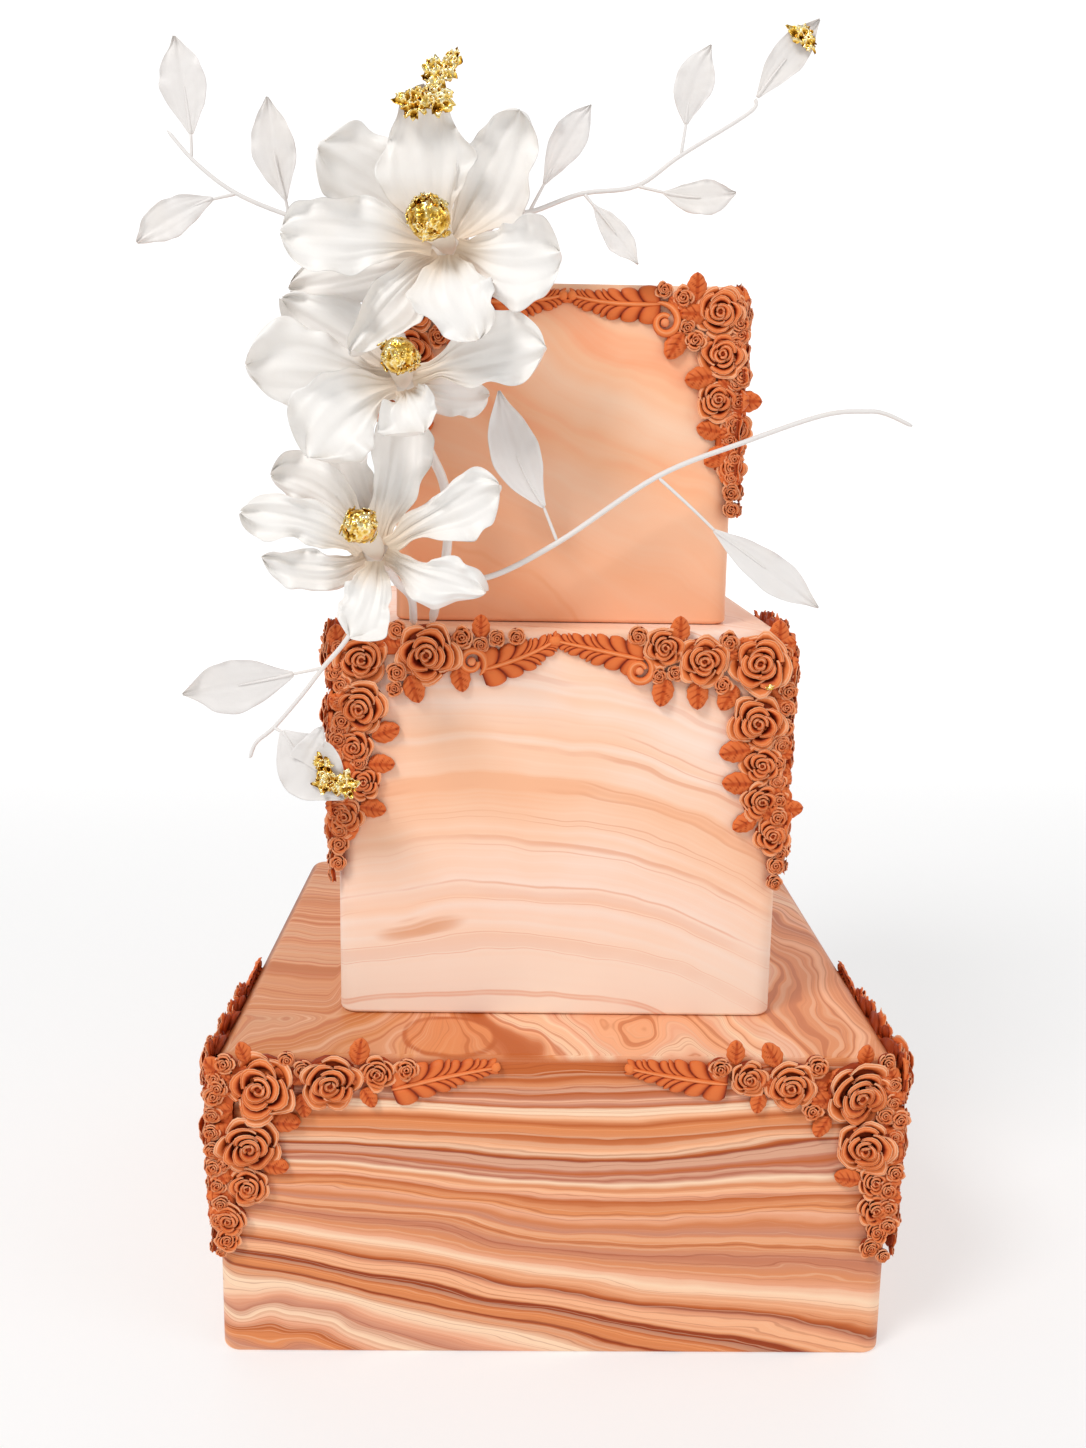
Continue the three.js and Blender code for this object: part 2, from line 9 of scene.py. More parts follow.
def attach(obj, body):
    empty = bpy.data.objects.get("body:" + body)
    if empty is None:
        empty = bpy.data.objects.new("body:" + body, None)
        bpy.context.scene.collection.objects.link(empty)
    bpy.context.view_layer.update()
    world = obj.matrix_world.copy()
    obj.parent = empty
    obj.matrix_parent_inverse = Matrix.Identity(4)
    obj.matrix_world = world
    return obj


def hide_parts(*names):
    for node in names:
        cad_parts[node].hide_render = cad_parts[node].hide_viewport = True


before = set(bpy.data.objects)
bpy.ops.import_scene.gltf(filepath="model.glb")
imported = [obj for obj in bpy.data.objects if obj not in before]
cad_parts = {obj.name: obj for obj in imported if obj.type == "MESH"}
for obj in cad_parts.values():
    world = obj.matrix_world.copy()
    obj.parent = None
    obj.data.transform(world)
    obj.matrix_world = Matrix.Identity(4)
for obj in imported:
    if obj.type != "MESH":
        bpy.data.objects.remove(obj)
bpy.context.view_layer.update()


# The tiers
# Three square cakes, each of filled sponge under a sheet of rolled fondant a few millimetres thick.
# The paste was kneaded from several colours and rolled out, so its streaks run through like wood grain.
MM = 0.001
TIERS = {
    "bottom": {"width": 305.0, "base": 0.0, "height": 145.0},
    "middle": {"width": 206.0, "base": 145.3, "height": 185.0},
    "top": {"width": 156.0, "base": 330.6, "height": 153.5},
}
CORNER_RADIUS = 9.0
EDGE_RADIUS = 7.0
BASE_RADIUS = 2.0


class Value:
    """A shader socket that takes part in Python sums, each of which adds a Math node."""

    def __init__(self, paint, socket):
        self.paint = paint
        self.socket = socket

    def math(self, operation, *others, first=None):
        """A Math node on this value and others, or on another first value and this one."""
        node = self.paint.tree.nodes.new("ShaderNodeMath")
        node.operation = operation
        values = (self, *others) if first is None else (first, self)
        for socket, value in zip(node.inputs, values):
            self.paint.feed(socket, value)
        return Value(self.paint, node.outputs[0])

    def __add__(self, other):
        return self.math("ADD", other)

    def __radd__(self, other):
        return self.math("ADD", other)

    def __sub__(self, other):
        return self.math("SUBTRACT", other)

    def __rsub__(self, other):
        return self.math("SUBTRACT", first=other)

    def __mul__(self, other):
        return self.math("MULTIPLY", other)

    def __rmul__(self, other):
        return self.math("MULTIPLY", other)

    def squared(self):
        return self * self

    def between(self, low, high):
        """0 below low, 1 above high and smooth on the way."""
        return self.paint.node("ShaderNodeMapRange", {"interpolation_type": "SMOOTHSTEP"},
                               Value=self, From_Min=low, From_Max=high)["Result"]


class Paint:
    """A node material whose nodes are made by one method; a colour may be six hex digits."""

    def __init__(self, name):
        self.material = bpy.data.materials.new(name)
        self.material.use_nodes = True
        self.tree = self.material.node_tree
        self.tree.nodes.clear()

    def feed(self, socket, value):
        if isinstance(value, str):
            value = srgb(value)
        if isinstance(value, Value):
            self.tree.links.new(value.socket, socket)
        elif isinstance(value, (tuple, list)) and len(socket.default_value) == 4:
            socket.default_value = (*value, 1.0)[:4]
        else:
            socket.default_value = value

    def node(self, kind, settings=None, **values):
        made = self.tree.nodes.new(kind)
        for name, value in (settings or {}).items():
            setattr(made, name, value)
        for name, value in values.items():
            sockets = [s for s in made.inputs if s.enabled and s.name == name.replace("_", " ")]
            self.feed(sockets[0], value)
        return {s.name: Value(self, s) for s in made.outputs if s.enabled}

    def place(self, stretch, shift=(0, 0, 0)):
        """The place on the object, stretched along the axes from metres."""
        where = self.node("ShaderNodeTexCoord")["Object"]
        return self.node("ShaderNodeMapping", Vector=where, Scale=stretch, Location=shift)["Vector"]

    def axes(self, scale):
        """The place on the object as three numbers."""
        parts = self.node("ShaderNodeSeparateXYZ", Vector=self.place((scale, scale, scale)))
        return parts["X"], parts["Y"], parts["Z"]

    def noise(self, stretch, shift, detail, roughness):
        return self.node("ShaderNodeTexNoise", Vector=self.place(stretch, shift), Scale=1.0, Detail=detail,
                         Roughness=roughness)["Fac"]

    def streaks(self, along, scale, detail, roughness):
        """Noise of a single number: bands of uneven width."""
        return self.node("ShaderNodeTexNoise", {"noise_dimensions": "1D"}, W=along, Scale=scale,
                         Detail=detail, Roughness=roughness)["Fac"]

    def mix(self, share, first, second):
        return self.node("ShaderNodeMix", {"data_type": "RGBA"}, Factor=share, A=first, B=second)["Result"]

    def mix_number(self, share, first, second):
        return first + (second - first) * share

    def through(self, value, stops):
        """A colour that runs through stops, each a place and a colour."""
        colour = stops[0][1]
        for (low, _), (high, after) in zip(stops, stops[1:]):
            share = self.node("ShaderNodeMapRange", Value=value, From_Min=low, From_Max=high)["Result"]
            colour = self.mix(share, colour, after)
        return colour

    def attribute(self, name):
        return self.node("ShaderNodeAttribute", {"attribute_name": name})["Fac"]

    def bump(self, height, strength, distance):
        return self.node("ShaderNodeBump", Height=height, Strength=strength, Distance=distance)["Normal"]

    def surface(self, **values):
        shader = self.node("ShaderNodeBsdfPrincipled", **values)["BSDF"]
        self.node("ShaderNodeOutputMaterial", Surface=shader)
        return self.material


def srgb(text):
    """A colour written as six hex digits, in linear light."""
    values = [int(text[i:i + 2], 16) / 255 for i in (0, 2, 4)]
    return tuple(v / 12.92 if v <= 0.04045 else ((v + 0.055) / 1.055) ** 2.4 for v in values)


class Body:
    """Points and faces in millimetres, gathered from grids, with one number at each point."""

    def __init__(self):
        self.points = []
        self.numbers = []
        self.faces = []
        self.count = 0

    def add(self, points, faces, numbers):
        self.faces.append(faces + self.count)
        self.points.append(points)
        self.numbers.append(numbers)
        self.count += len(points)
        return self

    def grid(self, points, numbers, round_rows=False, caps=(False, False), turned=False):
        """Rows of points as quads; rows may close on themselves and end in caps."""
        rows, columns = points.shape[:2]
        numbers = np.broadcast_to(np.asarray(numbers, float), (rows, columns))
        index = np.arange(rows * columns).reshape(rows, columns)
        wrapped = np.hstack([index, index[:, :1]]) if round_rows else index
        quads = np.stack([wrapped[:-1, :-1], wrapped[:-1, 1:], wrapped[1:, 1:], wrapped[1:, :-1]], -1)
        quads = quads.reshape(-1, 4)
        extra, values, fans = [points.reshape(-1, 3)], [numbers.ravel()], []
        for end, wanted in enumerate(caps):
            if not wanted:
                continue
            row = index[-1] if end else index[0]
            centre = rows * columns + len(fans)
            extra.append(points[-1 if end else 0].mean(0)[None])
            values.append(values[0][row].mean()[None])
            after = np.roll(row, -1)
            first, second = (row, after) if end else (after, row)
            fans.append(np.stack([first, second, np.full(len(row), centre), np.full(len(row), centre)], -1))
        quads = np.vstack([quads, *fans])
        if turned:
            quads = quads[:, ::-1]
        return self.add(np.vstack(extra), quads, np.concatenate(values))

    def ring(self, points, numbers, caps=(True, True), turned=False):
        """Rows that close on themselves, with a cap on each end that wants one."""
        return self.grid(points, numbers, True, caps, turned)

    def moved(self, matrix):
        """The same body elsewhere; a mirroring matrix turns its faces over."""
        other = Body()
        turn = np.array(matrix.to_3x3())
        flip = np.linalg.det(turn) < 0
        for points, faces, numbers in zip(self.points, self.faces, self.numbers):
            own = faces - faces.min()
            other.add(points @ turn.T + np.array(matrix.translation), own[:, ::-1] if flip else own, numbers)
        return other

    def take(self, other):
        for points, faces, numbers in zip(other.points, other.faces, other.numbers):
            self.add(points, faces - faces.min(), numbers)
        return self


def show(name, data):
    """A Blender object that holds some data, linked into the scene."""
    made = bpy.data.objects.new(name, data)
    bpy.context.scene.collection.objects.link(made)
    return made


def make_piece(name, body, material, node):
    """A Blender mesh from a body, in metres, that stands for one CAD node."""
    faces = [tuple(dict.fromkeys(face)) for face in np.vstack(body.faces).tolist()]
    mesh = bpy.data.meshes.new(name)
    mesh.from_pydata(np.vstack(body.points) * MM, [], [face for face in faces if len(face) > 2])
    mesh.attributes.new("mark", "FLOAT", "POINT").data.foreach_set("value", np.concatenate(body.numbers))
    mesh.validate()
    mesh.shade_smooth()
    mesh.materials.append(material)
    made = show(name, mesh)
    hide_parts(node)
    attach(made, "root")


def block(width, base, height):
    """A square block with rounded upright corners and softly rounded edges above and below."""
    steps, corner_steps, side_steps = 10, 10, 24

    def outline(inset, z):
        reach, radius = width / 2 - CORNER_RADIUS, CORNER_RADIUS - inset
        points = []
        for corner in range(4):
            middle = math.radians(45 + 90 * corner)
            x, y = math.copysign(reach, math.cos(middle)), math.copysign(reach, math.sin(middle))
            for step in range(corner_steps + 1):
                turn = math.radians(90 * corner + 90 * step / corner_steps)
                points.append((x + radius * math.cos(turn), y + radius * math.sin(turn), z))
            start, turn = np.array(points[-1]), math.radians(90 * corner + 90)
            along = np.array([-math.sin(turn), math.cos(turn), 0]) * 2 * reach / side_steps
            points.extend(tuple(start + along * k) for k in range(1, side_steps))
        return points

    rows = []
    for radius, centre, start in ((BASE_RADIUS, BASE_RADIUS, -90), (EDGE_RADIUS, height - EDGE_RADIUS, 0)):
        for step in range(steps + 1):
            rise = math.radians(start + 90 * step / steps)
            rows.append(outline(radius * (1 - math.cos(rise)), base + centre + radius * math.sin(rise)))
    lid = rows[-1]
    rows += [[(x * shrink, y * shrink, z) for x, y, z in lid] for shrink in (0.8, 0.55, 0.3)]
    return Body().ring(np.array(rows), 0.0)


# The colours of the kneaded pastes, and the heights at which each of them shows on the bottom tier.
PASTES = {
    "dark": "94360A", "brown": "C2642F", "tan": "E09060", "orange": "E8925A",
    "mauve": "CE8A6E", "pink": "F0AC88", "peach": "FAB88C", "cream": "FFDAB8",
}
STRATA = {
    "dark": (46.8, 53, 54.6, 61.5, 106.6),
    "brown": (17, 46, 51.5, 62.6, 92.5, 102, 107.2, 114, 120, 127.5, 134, 140, 145),
    "tan": (44, 63.5, 74, 80, 86, 91, 96.5, 111.5, 115, 121, 138),
    "orange": (11, 47.6, 50, 55.4, 82.5, 89, 118),
    "mauve": (7, 31, 77, 84, 99, 101, 103, 105.5, 129, 131.5, 135),
    "pink": (20, 35, 60.5, 71, 88, 93.5, 130.5),
    "peach": (4, 56.4, 59, 66, 95, 110, 123),
    "cream": (0, 25, 39, 42, 69, 98, 108.5, 124.5, 126.5),
}
FONDANT_ROUGHNESS = 0.45


def bottom_fondant():
    """Long strata that sag a little over the upper part of each side and sweep down below it."""
    paint = Paint("fondant_bottom")
    x, y, z = paint.axes(1 / MM)
    drift = paint.noise((6, 6, 10), (3.1, 0.4, 0.0), 2.0, 0.45)
    ripple = paint.noise((14, 14, 45), (0.0, 7.0, 2.0), 3.0, 0.5)
    half = TIERS["bottom"]["width"] / 2
    sweep, sweep_top, sag_depth, sag_reach = 0.19, 108, 6, 150
    from_corner = x + half + (y + half) * 0.5
    low = (1 - z * (1 / sweep_top)).math("MAXIMUM", 0.0)
    sag = sag_depth - x.squared() * (sag_depth / sag_reach ** 2)
    level = z + from_corner * sweep * low + sag + (drift - 0.5) * 17 + (ripple - 0.5) * 6
    knot = paint.noise((17, 17, 26), (6.0, 1.0, 3.0), 2.0, 0.5)
    level = level + (1 - (x + 150).between(20, 75)) * (1 - z.between(18, 44)) * (knot - 0.5) * 60
    side = paint.through(level, sorted((height, PASTES[paste]) for paste, heights in STRATA.items()
                                       for height in heights))
    swirl = paint.noise((7, 5, 4), (1.0, 2.3, 0.0), 1.5, 0.4)
    curl = paint.noise((26, 13, 8), (4.0, 0.0, 1.0), 2.0, 0.5)
    field = x * 0.55 + y * 0.05 + (swirl - 0.5) * 150 + (curl - 0.5) * 26
    far = (1 - x.between(-112, -96)) * y.between(-112, -84)
    field = paint.mix_number(far, field, y * 0.7 + x * 0.12 + (curl - 0.5) * 16 + 40)
    broad = paint.streaks(field, 0.05, 2.0, 0.5)
    top = paint.through(broad, [
        (0.32, PASTES["brown"]), (0.41, PASTES["tan"]), (0.46, PASTES["orange"]), (0.50, PASTES["peach"]),
        (0.55, PASTES["pink"]), (0.61, PASTES["cream"]), (0.68, PASTES["peach"])])
    top = paint.mix((1 - x.between(-110, -30)) * 0.62, top, "C07434")
    cell_x, cell_y, cell_radius = -48, -128, 21
    from_cell = ((x - cell_x).squared() + (y - cell_y).squared()).math("SQRT") * (1 / cell_radius)
    cell = from_cell + (curl - 0.5) * 1.1 + (drift - 0.5) * 0.8
    inside = paint.mix(curl.between(0.35, 0.6), PASTES["tan"], PASTES["orange"])
    top = paint.mix(1 - cell.between(0.92, 1.0), top, inside)
    outline = cell.between(0.84, 0.96) * (1 - cell.between(0.99, 1.08))
    top = paint.mix(outline * curl.between(0.3, 0.5) * 0.9, top, PASTES["brown"])
    edge = TIERS["bottom"]["height"]
    above = z.between(edge - 2.4, edge - 0.2)
    rim = z.between(edge - 4.5, edge - 2.5) * (1 - z.between(edge - 0.8, edge - 0.1))
    rim = rim * (1 - x.between(1.5 - half, 5.5 - half))
    path = paint.mix_number(above, level, field)
    colour = paint.mix(above, side, top)
    fine = paint.streaks(path, 0.32, 3.0, 0.65)
    hair = paint.streaks(path + (ripple - 0.5) * 4, 0.9, 2.0, 0.6)
    for share, paste in ((fine.between(0.52, 0.64) * (0.32 + above * 0.3), PASTES["brown"]),
                         ((1 - fine).between(0.54, 0.66) * 0.28, PASTES["cream"]),
                         (hair.between(0.60, 0.70) * (0.34 - above * 0.24), PASTES["dark"]),
                         ((1 - hair).between(0.60, 0.72) * (0.25 - above * 0.15), PASTES["cream"]),
                         (rim * 0.85, "7A3E18")):
        colour = paint.mix(share, colour, paste)
    return paint.surface(Base_Color=colour, Roughness=FONDANT_ROUGHNESS, Specular_IOR_Level=0.25)


def middle_fondant():
    """Pale peach in soft arcs that fall away to the right, with one darker streak low on the left."""
    paint = Paint("fondant_middle")
    x, y, z = paint.axes(1 / MM)
    drift = paint.noise((9, 9, 9), (0.3, 2.0, 5.0), 3.0, 0.5)
    cloud = paint.noise((11, 11, 16), (2.0, 1.0, 3.0), 3.0, 0.55)
    arc = (x + 10).squared() * 0.0021 + x * 0.09 + (y + TIERS["middle"]["width"] / 2) * 0.15
    level = z + arc + (drift - 0.5) * 30
    broad = paint.streaks(level, 0.022, 1.5, 0.5)
    fine = paint.streaks(level, 0.13, 3.0, 0.6)
    colour = paint.through(broad * 0.5 + fine * 0.22 + cloud * 0.28, [
        (0.36, "FABC94"), (0.43, "FDC9A6"), (0.50, "FFD3B6"), (0.57, "FFDDC8"), (0.66, "FFE6D6")])
    # Painted light: the foot is painted paler, partly for the paste's paler cream there and mostly to lift
    # the shade it gets above the bottom tier's top.
    colour = paint.mix((1 - z.between(150, 205)) * 0.92, colour, "FFF0E0")
    arcs = paint.streaks(level + (cloud - 0.5) * 12, 0.075, 2.0, 0.55)
    vein = arcs.between(0.53, 0.57) * (1 - arcs.between(0.57, 0.61)) + arcs.between(0.62, 0.7) * 0.4
    colour = paint.mix(vein * cloud.between(0.38, 0.58) * 0.6, colour, "E9A27B")
    streak_x, streak_z = -64, 188
    beside = x - streak_x
    away = (beside.squared() * 0.0022 + (z - streak_z - beside * 0.2).squared() * 0.03
            + (cloud - 0.5) * 2.2)
    streak = (1 - away.between(0.1, 1.3)) * (1 - y.between(-103, -95))
    colour = paint.mix(streak * fine.between(0.38, 0.56) * 0.75, colour, "E39A68")
    return paint.surface(Base_Color=colour, Roughness=FONDANT_ROUGHNESS, Specular_IOR_Level=0.3)


def top_fondant():
    """Peach orange, barely marbled: faint veins that slant down to the right and soft clouds."""
    paint = Paint("fondant_top")
    x, y, z = paint.axes(1 / MM)
    drift = paint.noise((12, 12, 10), (4.0, 1.0, 0.7), 3.0, 0.5)
    cloud = paint.noise((9, 9, 14), (1.0, 5.0, 2.0), 4.0, 0.55)
    level = z + x * 0.45 + y * 0.2 + (drift - 0.5) * 60
    broad = paint.streaks(level, 0.018, 1.0, 0.5)
    fine = paint.streaks(level, 0.09, 3.0, 0.6)
    colour = paint.through(broad * 0.4 + fine * 0.15 + cloud * 0.45, [
        (0.38, "FFB085"), (0.46, "FFC39A"), (0.54, "FFCDAA"), (0.64, "FFD8BA")])
    vein = paint.streaks(level + (cloud - 0.5) * 20, 0.06, 2.0, 0.5).between(0.60, 0.72)
    colour = paint.mix(vein * cloud.between(0.45, 0.6) * 0.45, colour, "EC9462")
    colour = paint.mix((1 - z.between(345, 430)) * 0.4, colour, "F8A370")
    # Painted shade: a brown contact shadow low on the left side of the tier, near its foot.
    colour = paint.mix((1 - x.between(-78, -75)) * (1 - z.between(345, 395)) * 0.5, colour, "C07848")
    return paint.surface(Base_Color=colour, Roughness=FONDANT_ROUGHNESS, Specular_IOR_Level=0.3)


FONDANTS = {"bottom": bottom_fondant(), "middle": middle_fondant(), "top": top_fondant()}
for tier, size in TIERS.items():
    make_piece(f"cake_{tier}", block(size["width"], size["base"], size["height"]), FONDANTS[tier],
               f"tier_{tier}")


# The garlands
# Terracotta sugar paste, pressed in moulds and stuck on damp: roses, rosebuds, veined leaves and
# acanthus scrolls. Each face is laid out from its corner: roses, buds and volutes [along, down, radius],
# leaves [along, down, length, angle], scrolls through three places with a width, and the whole drop.
GARLANDS = {
    "bottom_left": {
        "roses": [(22, 13, 14.5), (52, 10, 12.3), (16, 40, 13), (73, 6, 7.4), (15, 61, 8.7), (6, 77, 7.8),
            (5, 87, 5.3)],
        "buds": [(86, 4, 4.8), (33, 0, 3.7), (40, 4, 4.1), (6, 2, 4.4), (3, 13, 4.4), (2, 93, 2.4),
            (4, 50, 3.5)],
        "leaves": [(14, -3, 9, 110), (65, -4, 11, 80), (69, 18, 9, 300), (40, 22, 10, 280), (32, 30, 12, 0),
            (27, 51, 11, 350)],
        "scroll": ((79, 14), (101, 8), (125, 3), 18), "volute": None, "drop": 90},
    "bottom_right": {
        "roses": [(19, 13, 14.4), (49, 10, 10.8), (14, 39, 12.3), (68, 7, 7.9), (9, 57, 7.3), (8, 70, 7.7),
            (6, 81, 5.1), (9, 89, 4.8)],
        "buds": [(81, 2, 4.6), (38, 1, 5), (39, 22, 4.3), (7, -1, 4), (6, 24, 4), (3, 93, 3.2)],
        "leaves": [(74, -5, 10, 90), (58, -4, 11, 60), (63, 19, 9, 280), (34, 17, 12, 0), (34, 30, 10, 300),
            (16, -4, 9, 100), (21, 55, 11, 10)],
        "scroll": ((77, 10), (99, 7), (121, 3), 18), "volute": None, "drop": 90},
    "middle_left": {
        "roses": [(42, 11, 13.3), (12, 14, 11), (12, 36, 11.5), (9, 55, 8.4), (13, 72, 7.3), (4, 88, 8.3)],
        "buds": [(28, 1, 4.2), (28, 20, 4.5), (27, 28, 3.6), (2, 47, 3.6), (0, 21, 4), (58, 4, 4.7),
            (66, 7, 3.6), (73, 4, 3.8), (82, 3, 3.8), (11, 62, 3.6), (1, 101, 4.6), (1, 110, 3.7)],
        "leaves": [(5, 27, 10, 100), (23, 48, 12, 20), (21, 63, 11, 0), (17, 84, 11, 350),
            (36, 28, 12, 290), (57, 23, 11, 280), (66, -1, 10, 90), (1, 79, 9, 180)],
        "scroll": ((66, 19), (86, 12), (99, 5), 17), "volute": (62, 15, 5.8), "drop": 108},
    "middle_right": {
        "roses": [(13, 14, 12.9), (13, 41, 12.1), (39, 13, 10.8), (57, 7, 8.8), (10, 61, 8.9),
            (10, 78, 8.9), (4, 95, 8.3)],
        "buds": [(69, 2, 4.5), (59, 20, 3.6), (52, 19, 3.6), (28, 4, 4.5), (30, 24, 4.1), (1, 24, 3.6),
            (2, 50, 3.7), (2, 69, 3.7), (2, 109, 4.2), (2, 117, 3.7)],
        "leaves": [(57, 28, 12, 280), (41, 29, 12, 270), (27, 30, 12, 300), (50, -1, 11, 90),
            (23, 55, 13, 350), (21, 70, 13, 0), (17, 89, 11, 330), (-4, 82, 11, 170), (2, 33, 9, 180),
            (5, 0, 11, 90)],
        "scroll": ((66, 13), (86, 9), (106, 5), 17), "volute": (68, 18, 5.7), "drop": 112},
    "top_right": {
        "roses": [(9, 12, 10.5), (7, 31, 9.9), (9, 51, 8.8), (0, 63, 6.7), (1, 81, 6.4)],
        "buds": [(35, 3, 3.6), (26, 6, 4.5), (24, 19, 3.6), (20, 25, 4.5), (-1, 22, 4), (-1, 40, 5),
            (-2, 72, 3.2), (1, 92, 4.1), (1, 100, 3.7)],
        "leaves": [(20, 1, 11, 90), (21, 13, 12, 0), (29, 27, 12, 300), (17, 41, 13, 350),
            (-5, 51, 12, 180), (12, 64, 11, 10), (8, 76, 12, 330)],
        "scroll": ((36, 9), (58, 9), (76, 6), 16), "volute": (34, 17, 5.8), "drop": 95},
}
GARLANDS["top_left"] = GARLANDS["top_right"]
LIFT = 0.3
FLOWER_GROWTH, LEAF_GROWTH = 1.05, (1.12, 1.2, 1.12)
FILLER_STEP, TUCKED_STEP = 8.5, 10.0
TILT = 0.16
# Rings of petals from the outside in: how many, how far they reach, where they stand, how high they rise.
ROSE_RINGS = [(5, 1.04, 0.76, 0.27), (4, 0.82, 0.54, 0.42), (3, 0.58, 0.34, 0.53), (2, 0.37, 0.18, 0.58),
              (2, 0.19, 0.06, 0.6)]
BUD_RINGS = [(4, 1.04, 0.72, 0.48), (3, 0.8, 0.48, 0.74), (3, 0.52, 0.24, 0.86), (2, 0.26, 0.06, 0.9)]


def around(count):
    """Angles spread evenly over one turn."""
    return np.linspace(0, 2 * math.pi, count, False)


def turned_form(centre, rings, sides, mark, caps=(False, True)):
    """A round form about an axis along Y, through rings that each have a radius and a height."""
    x, y, z = centre
    points = np.array([[(x + r * math.cos(a), y + h, z + r * math.sin(a)) for a in around(sides)]
                       for r, h in rings])
    return Body().ring(points, mark, caps, turned=True)


def curve_through(first, middle, last, t):
    """The place at a share of the smooth curve through three points."""
    return first * (1 - t) * (1 - 2 * t) + middle * 4 * t * (1 - t) + last * t * (2 * t - 1)


def sheet_of_rose(middle, span, reach, foot, rise, thick, columns, deep, draw):
    """One thick petal of a moulded rose: it leans outward, its ends tuck in, its rim is rounded."""
    u = np.linspace(-1, 1, columns + 1)[None, :]
    path = np.array([(0, -1), (0.5, -1), (0.86, -1), (0.98, -0.8), (1.02, 0), (0.98, 0.8), (0.86, 1),
                     (0.55, 1), (0.2, 1)])
    v, side = path[:, :1], path[:, 1:]
    wave = draw.uniform(0, 6.3)
    rim = reach * (1 - 0.2 * np.abs(u) ** 2.4 + 0.06 * np.sin(3.2 * u + wave)) + 0.11 * reach * u
    rim = rim + draw.choice((0.0, 0.07, 0.1)) * reach * np.exp(-((u - draw.uniform(-0.4, 0.4)) / 0.3) ** 2)
    lean = draw.uniform(1.1, 1.7)
    radius = foot + (rim - foot) * v ** lean - side * thick * 0.5
    height = rise * np.sin(np.minimum(v, 1) * 1.5) - 0.9 * rise * np.maximum(v - 0.8, 0)
    height = height * (1 - 0.22 * u ** 2) + 0.035 * np.sin(4.1 * u + wave) * v
    turn = middle + span * u * (1 - 0.12 * v)
    points = np.stack([radius * np.cos(turn), height + 0 * radius, radius * np.sin(turn)], -1)
    # The number runs from dark low in the rose to bright at the rim: painted shade deep between the petals
    # and a painted highlight on the rim; deep sets how dark the shade is.
    return points, 1 - (1 - np.clip(v, 0, 1)) * deep + 0 * u


def rose(rings, seed, columns, thick):
    """A rose of unit radius that faces +Y, from its outer petals in."""
    draw = random.Random(seed)
    body = Body()
    turn = draw.uniform(0, 6.3)
    for count, reach, foot, rise in rings:
        turn += math.pi / count + draw.uniform(-0.3, 0.3)
        for k in range(count):
            middle = turn + 2 * math.pi * (k + draw.uniform(-0.1, 0.1)) / count
            # The outer petals get half the painted shade low down, as their outsides show from the side.
            deep = 0.5 if foot == rings[0][2] else 1.0
            points, mark = sheet_of_rose(middle, 3.5 / count + 0.12, reach * draw.uniform(0.94, 1.03), foot,
                                         rise * draw.uniform(0.93, 1.07), thick, columns, deep, draw)
            body.grid(points, mark)
    # The floor under the petals is painted darker: painted shade deep in the rose.
    floor = ((0.93, -0.1), (0.9, 0.03), (0.72, 0.07), (0.45, 0.12), (0.15, 0.18), (0.06, 0.44))
    return body.take(turned_form((0, 0, 0), floor, 16, 0.6, caps=(True, True)))


def moulded_leaf():
    """A leaf of unit length along +X that faces +Y, with a midrib and side veins pressed in."""
    along, across = np.linspace(0, 1, 21)[:, None], np.linspace(-1, 1, 12)[None, :]
    width = 0.37 * np.sin(np.pi * along ** 0.85) ** 0.55 * (1 + 0.04 * np.sin(24 * along))
    spine = np.abs(across)
    veins = np.maximum(np.cos(2 * np.pi * (along * 4.6 - spine * 1.1)), 0) ** 5
    veins = veins * spine ** 0.3 * (1 - spine) ** 0.4
    height = 0.17 * (1 - spine ** 2.6) ** 0.6 + 0.04 - 0.06 * np.exp(-(spine / 0.1) ** 2) - 0.05 * veins
    height = height * (0.75 + 0.5 * along) * np.minimum(1, 6 * (1 - along) + 0.35)
    points = np.stack([along - 0.5 + 0 * across, height, width * across], -1)
    # The numbers paint shade into the pressed veins and midrib, light towards the edges, and shade on the
    # skirt under the edge.
    body = Body().grid(points, 0.75 - 0.22 * veins - 0.2 * np.exp(-(spine / 0.09) ** 2) + 0.1 * spine ** 3)
    edge = np.concatenate([points[:, 0], points[-1, 1:], points[::-1, -1][1:], points[0, ::-1][1:]])
    skirt = edge.copy()
    skirt[:, 1] = 0
    return body.grid(np.stack([edge, skirt]), 0.7, turned=True)


def finger(path, radius):
    """A rounded ridge along a path of points, thickest near its far end."""
    path = np.asarray(path, float)
    steps, turns = len(path), around(8)
    ways = np.gradient(path, axis=0)
    ways /= np.linalg.norm(ways, axis=1, keepdims=True)
    out = np.array([0.0, 1.0, 0.0])
    rows = []
    for k in range(steps):
        side = np.cross(ways[k], out)
        t = k / (steps - 1)
        size = radius * (0.55 + 0.45 * math.sin(math.pi * min(1, t * 1.05) * 0.5))
        size *= math.sqrt(max(0.02, 1 - t ** 8))
        rows.append([path[k] + size * (side * math.cos(a) + out * math.sin(a)) for a in turns])
    # Painted light on the top of the ridge and painted shade along its underside.
    mark = 0.68 + 0.25 * np.maximum(0, np.sin(turns))
    return Body().ring(np.array(rows), mark)


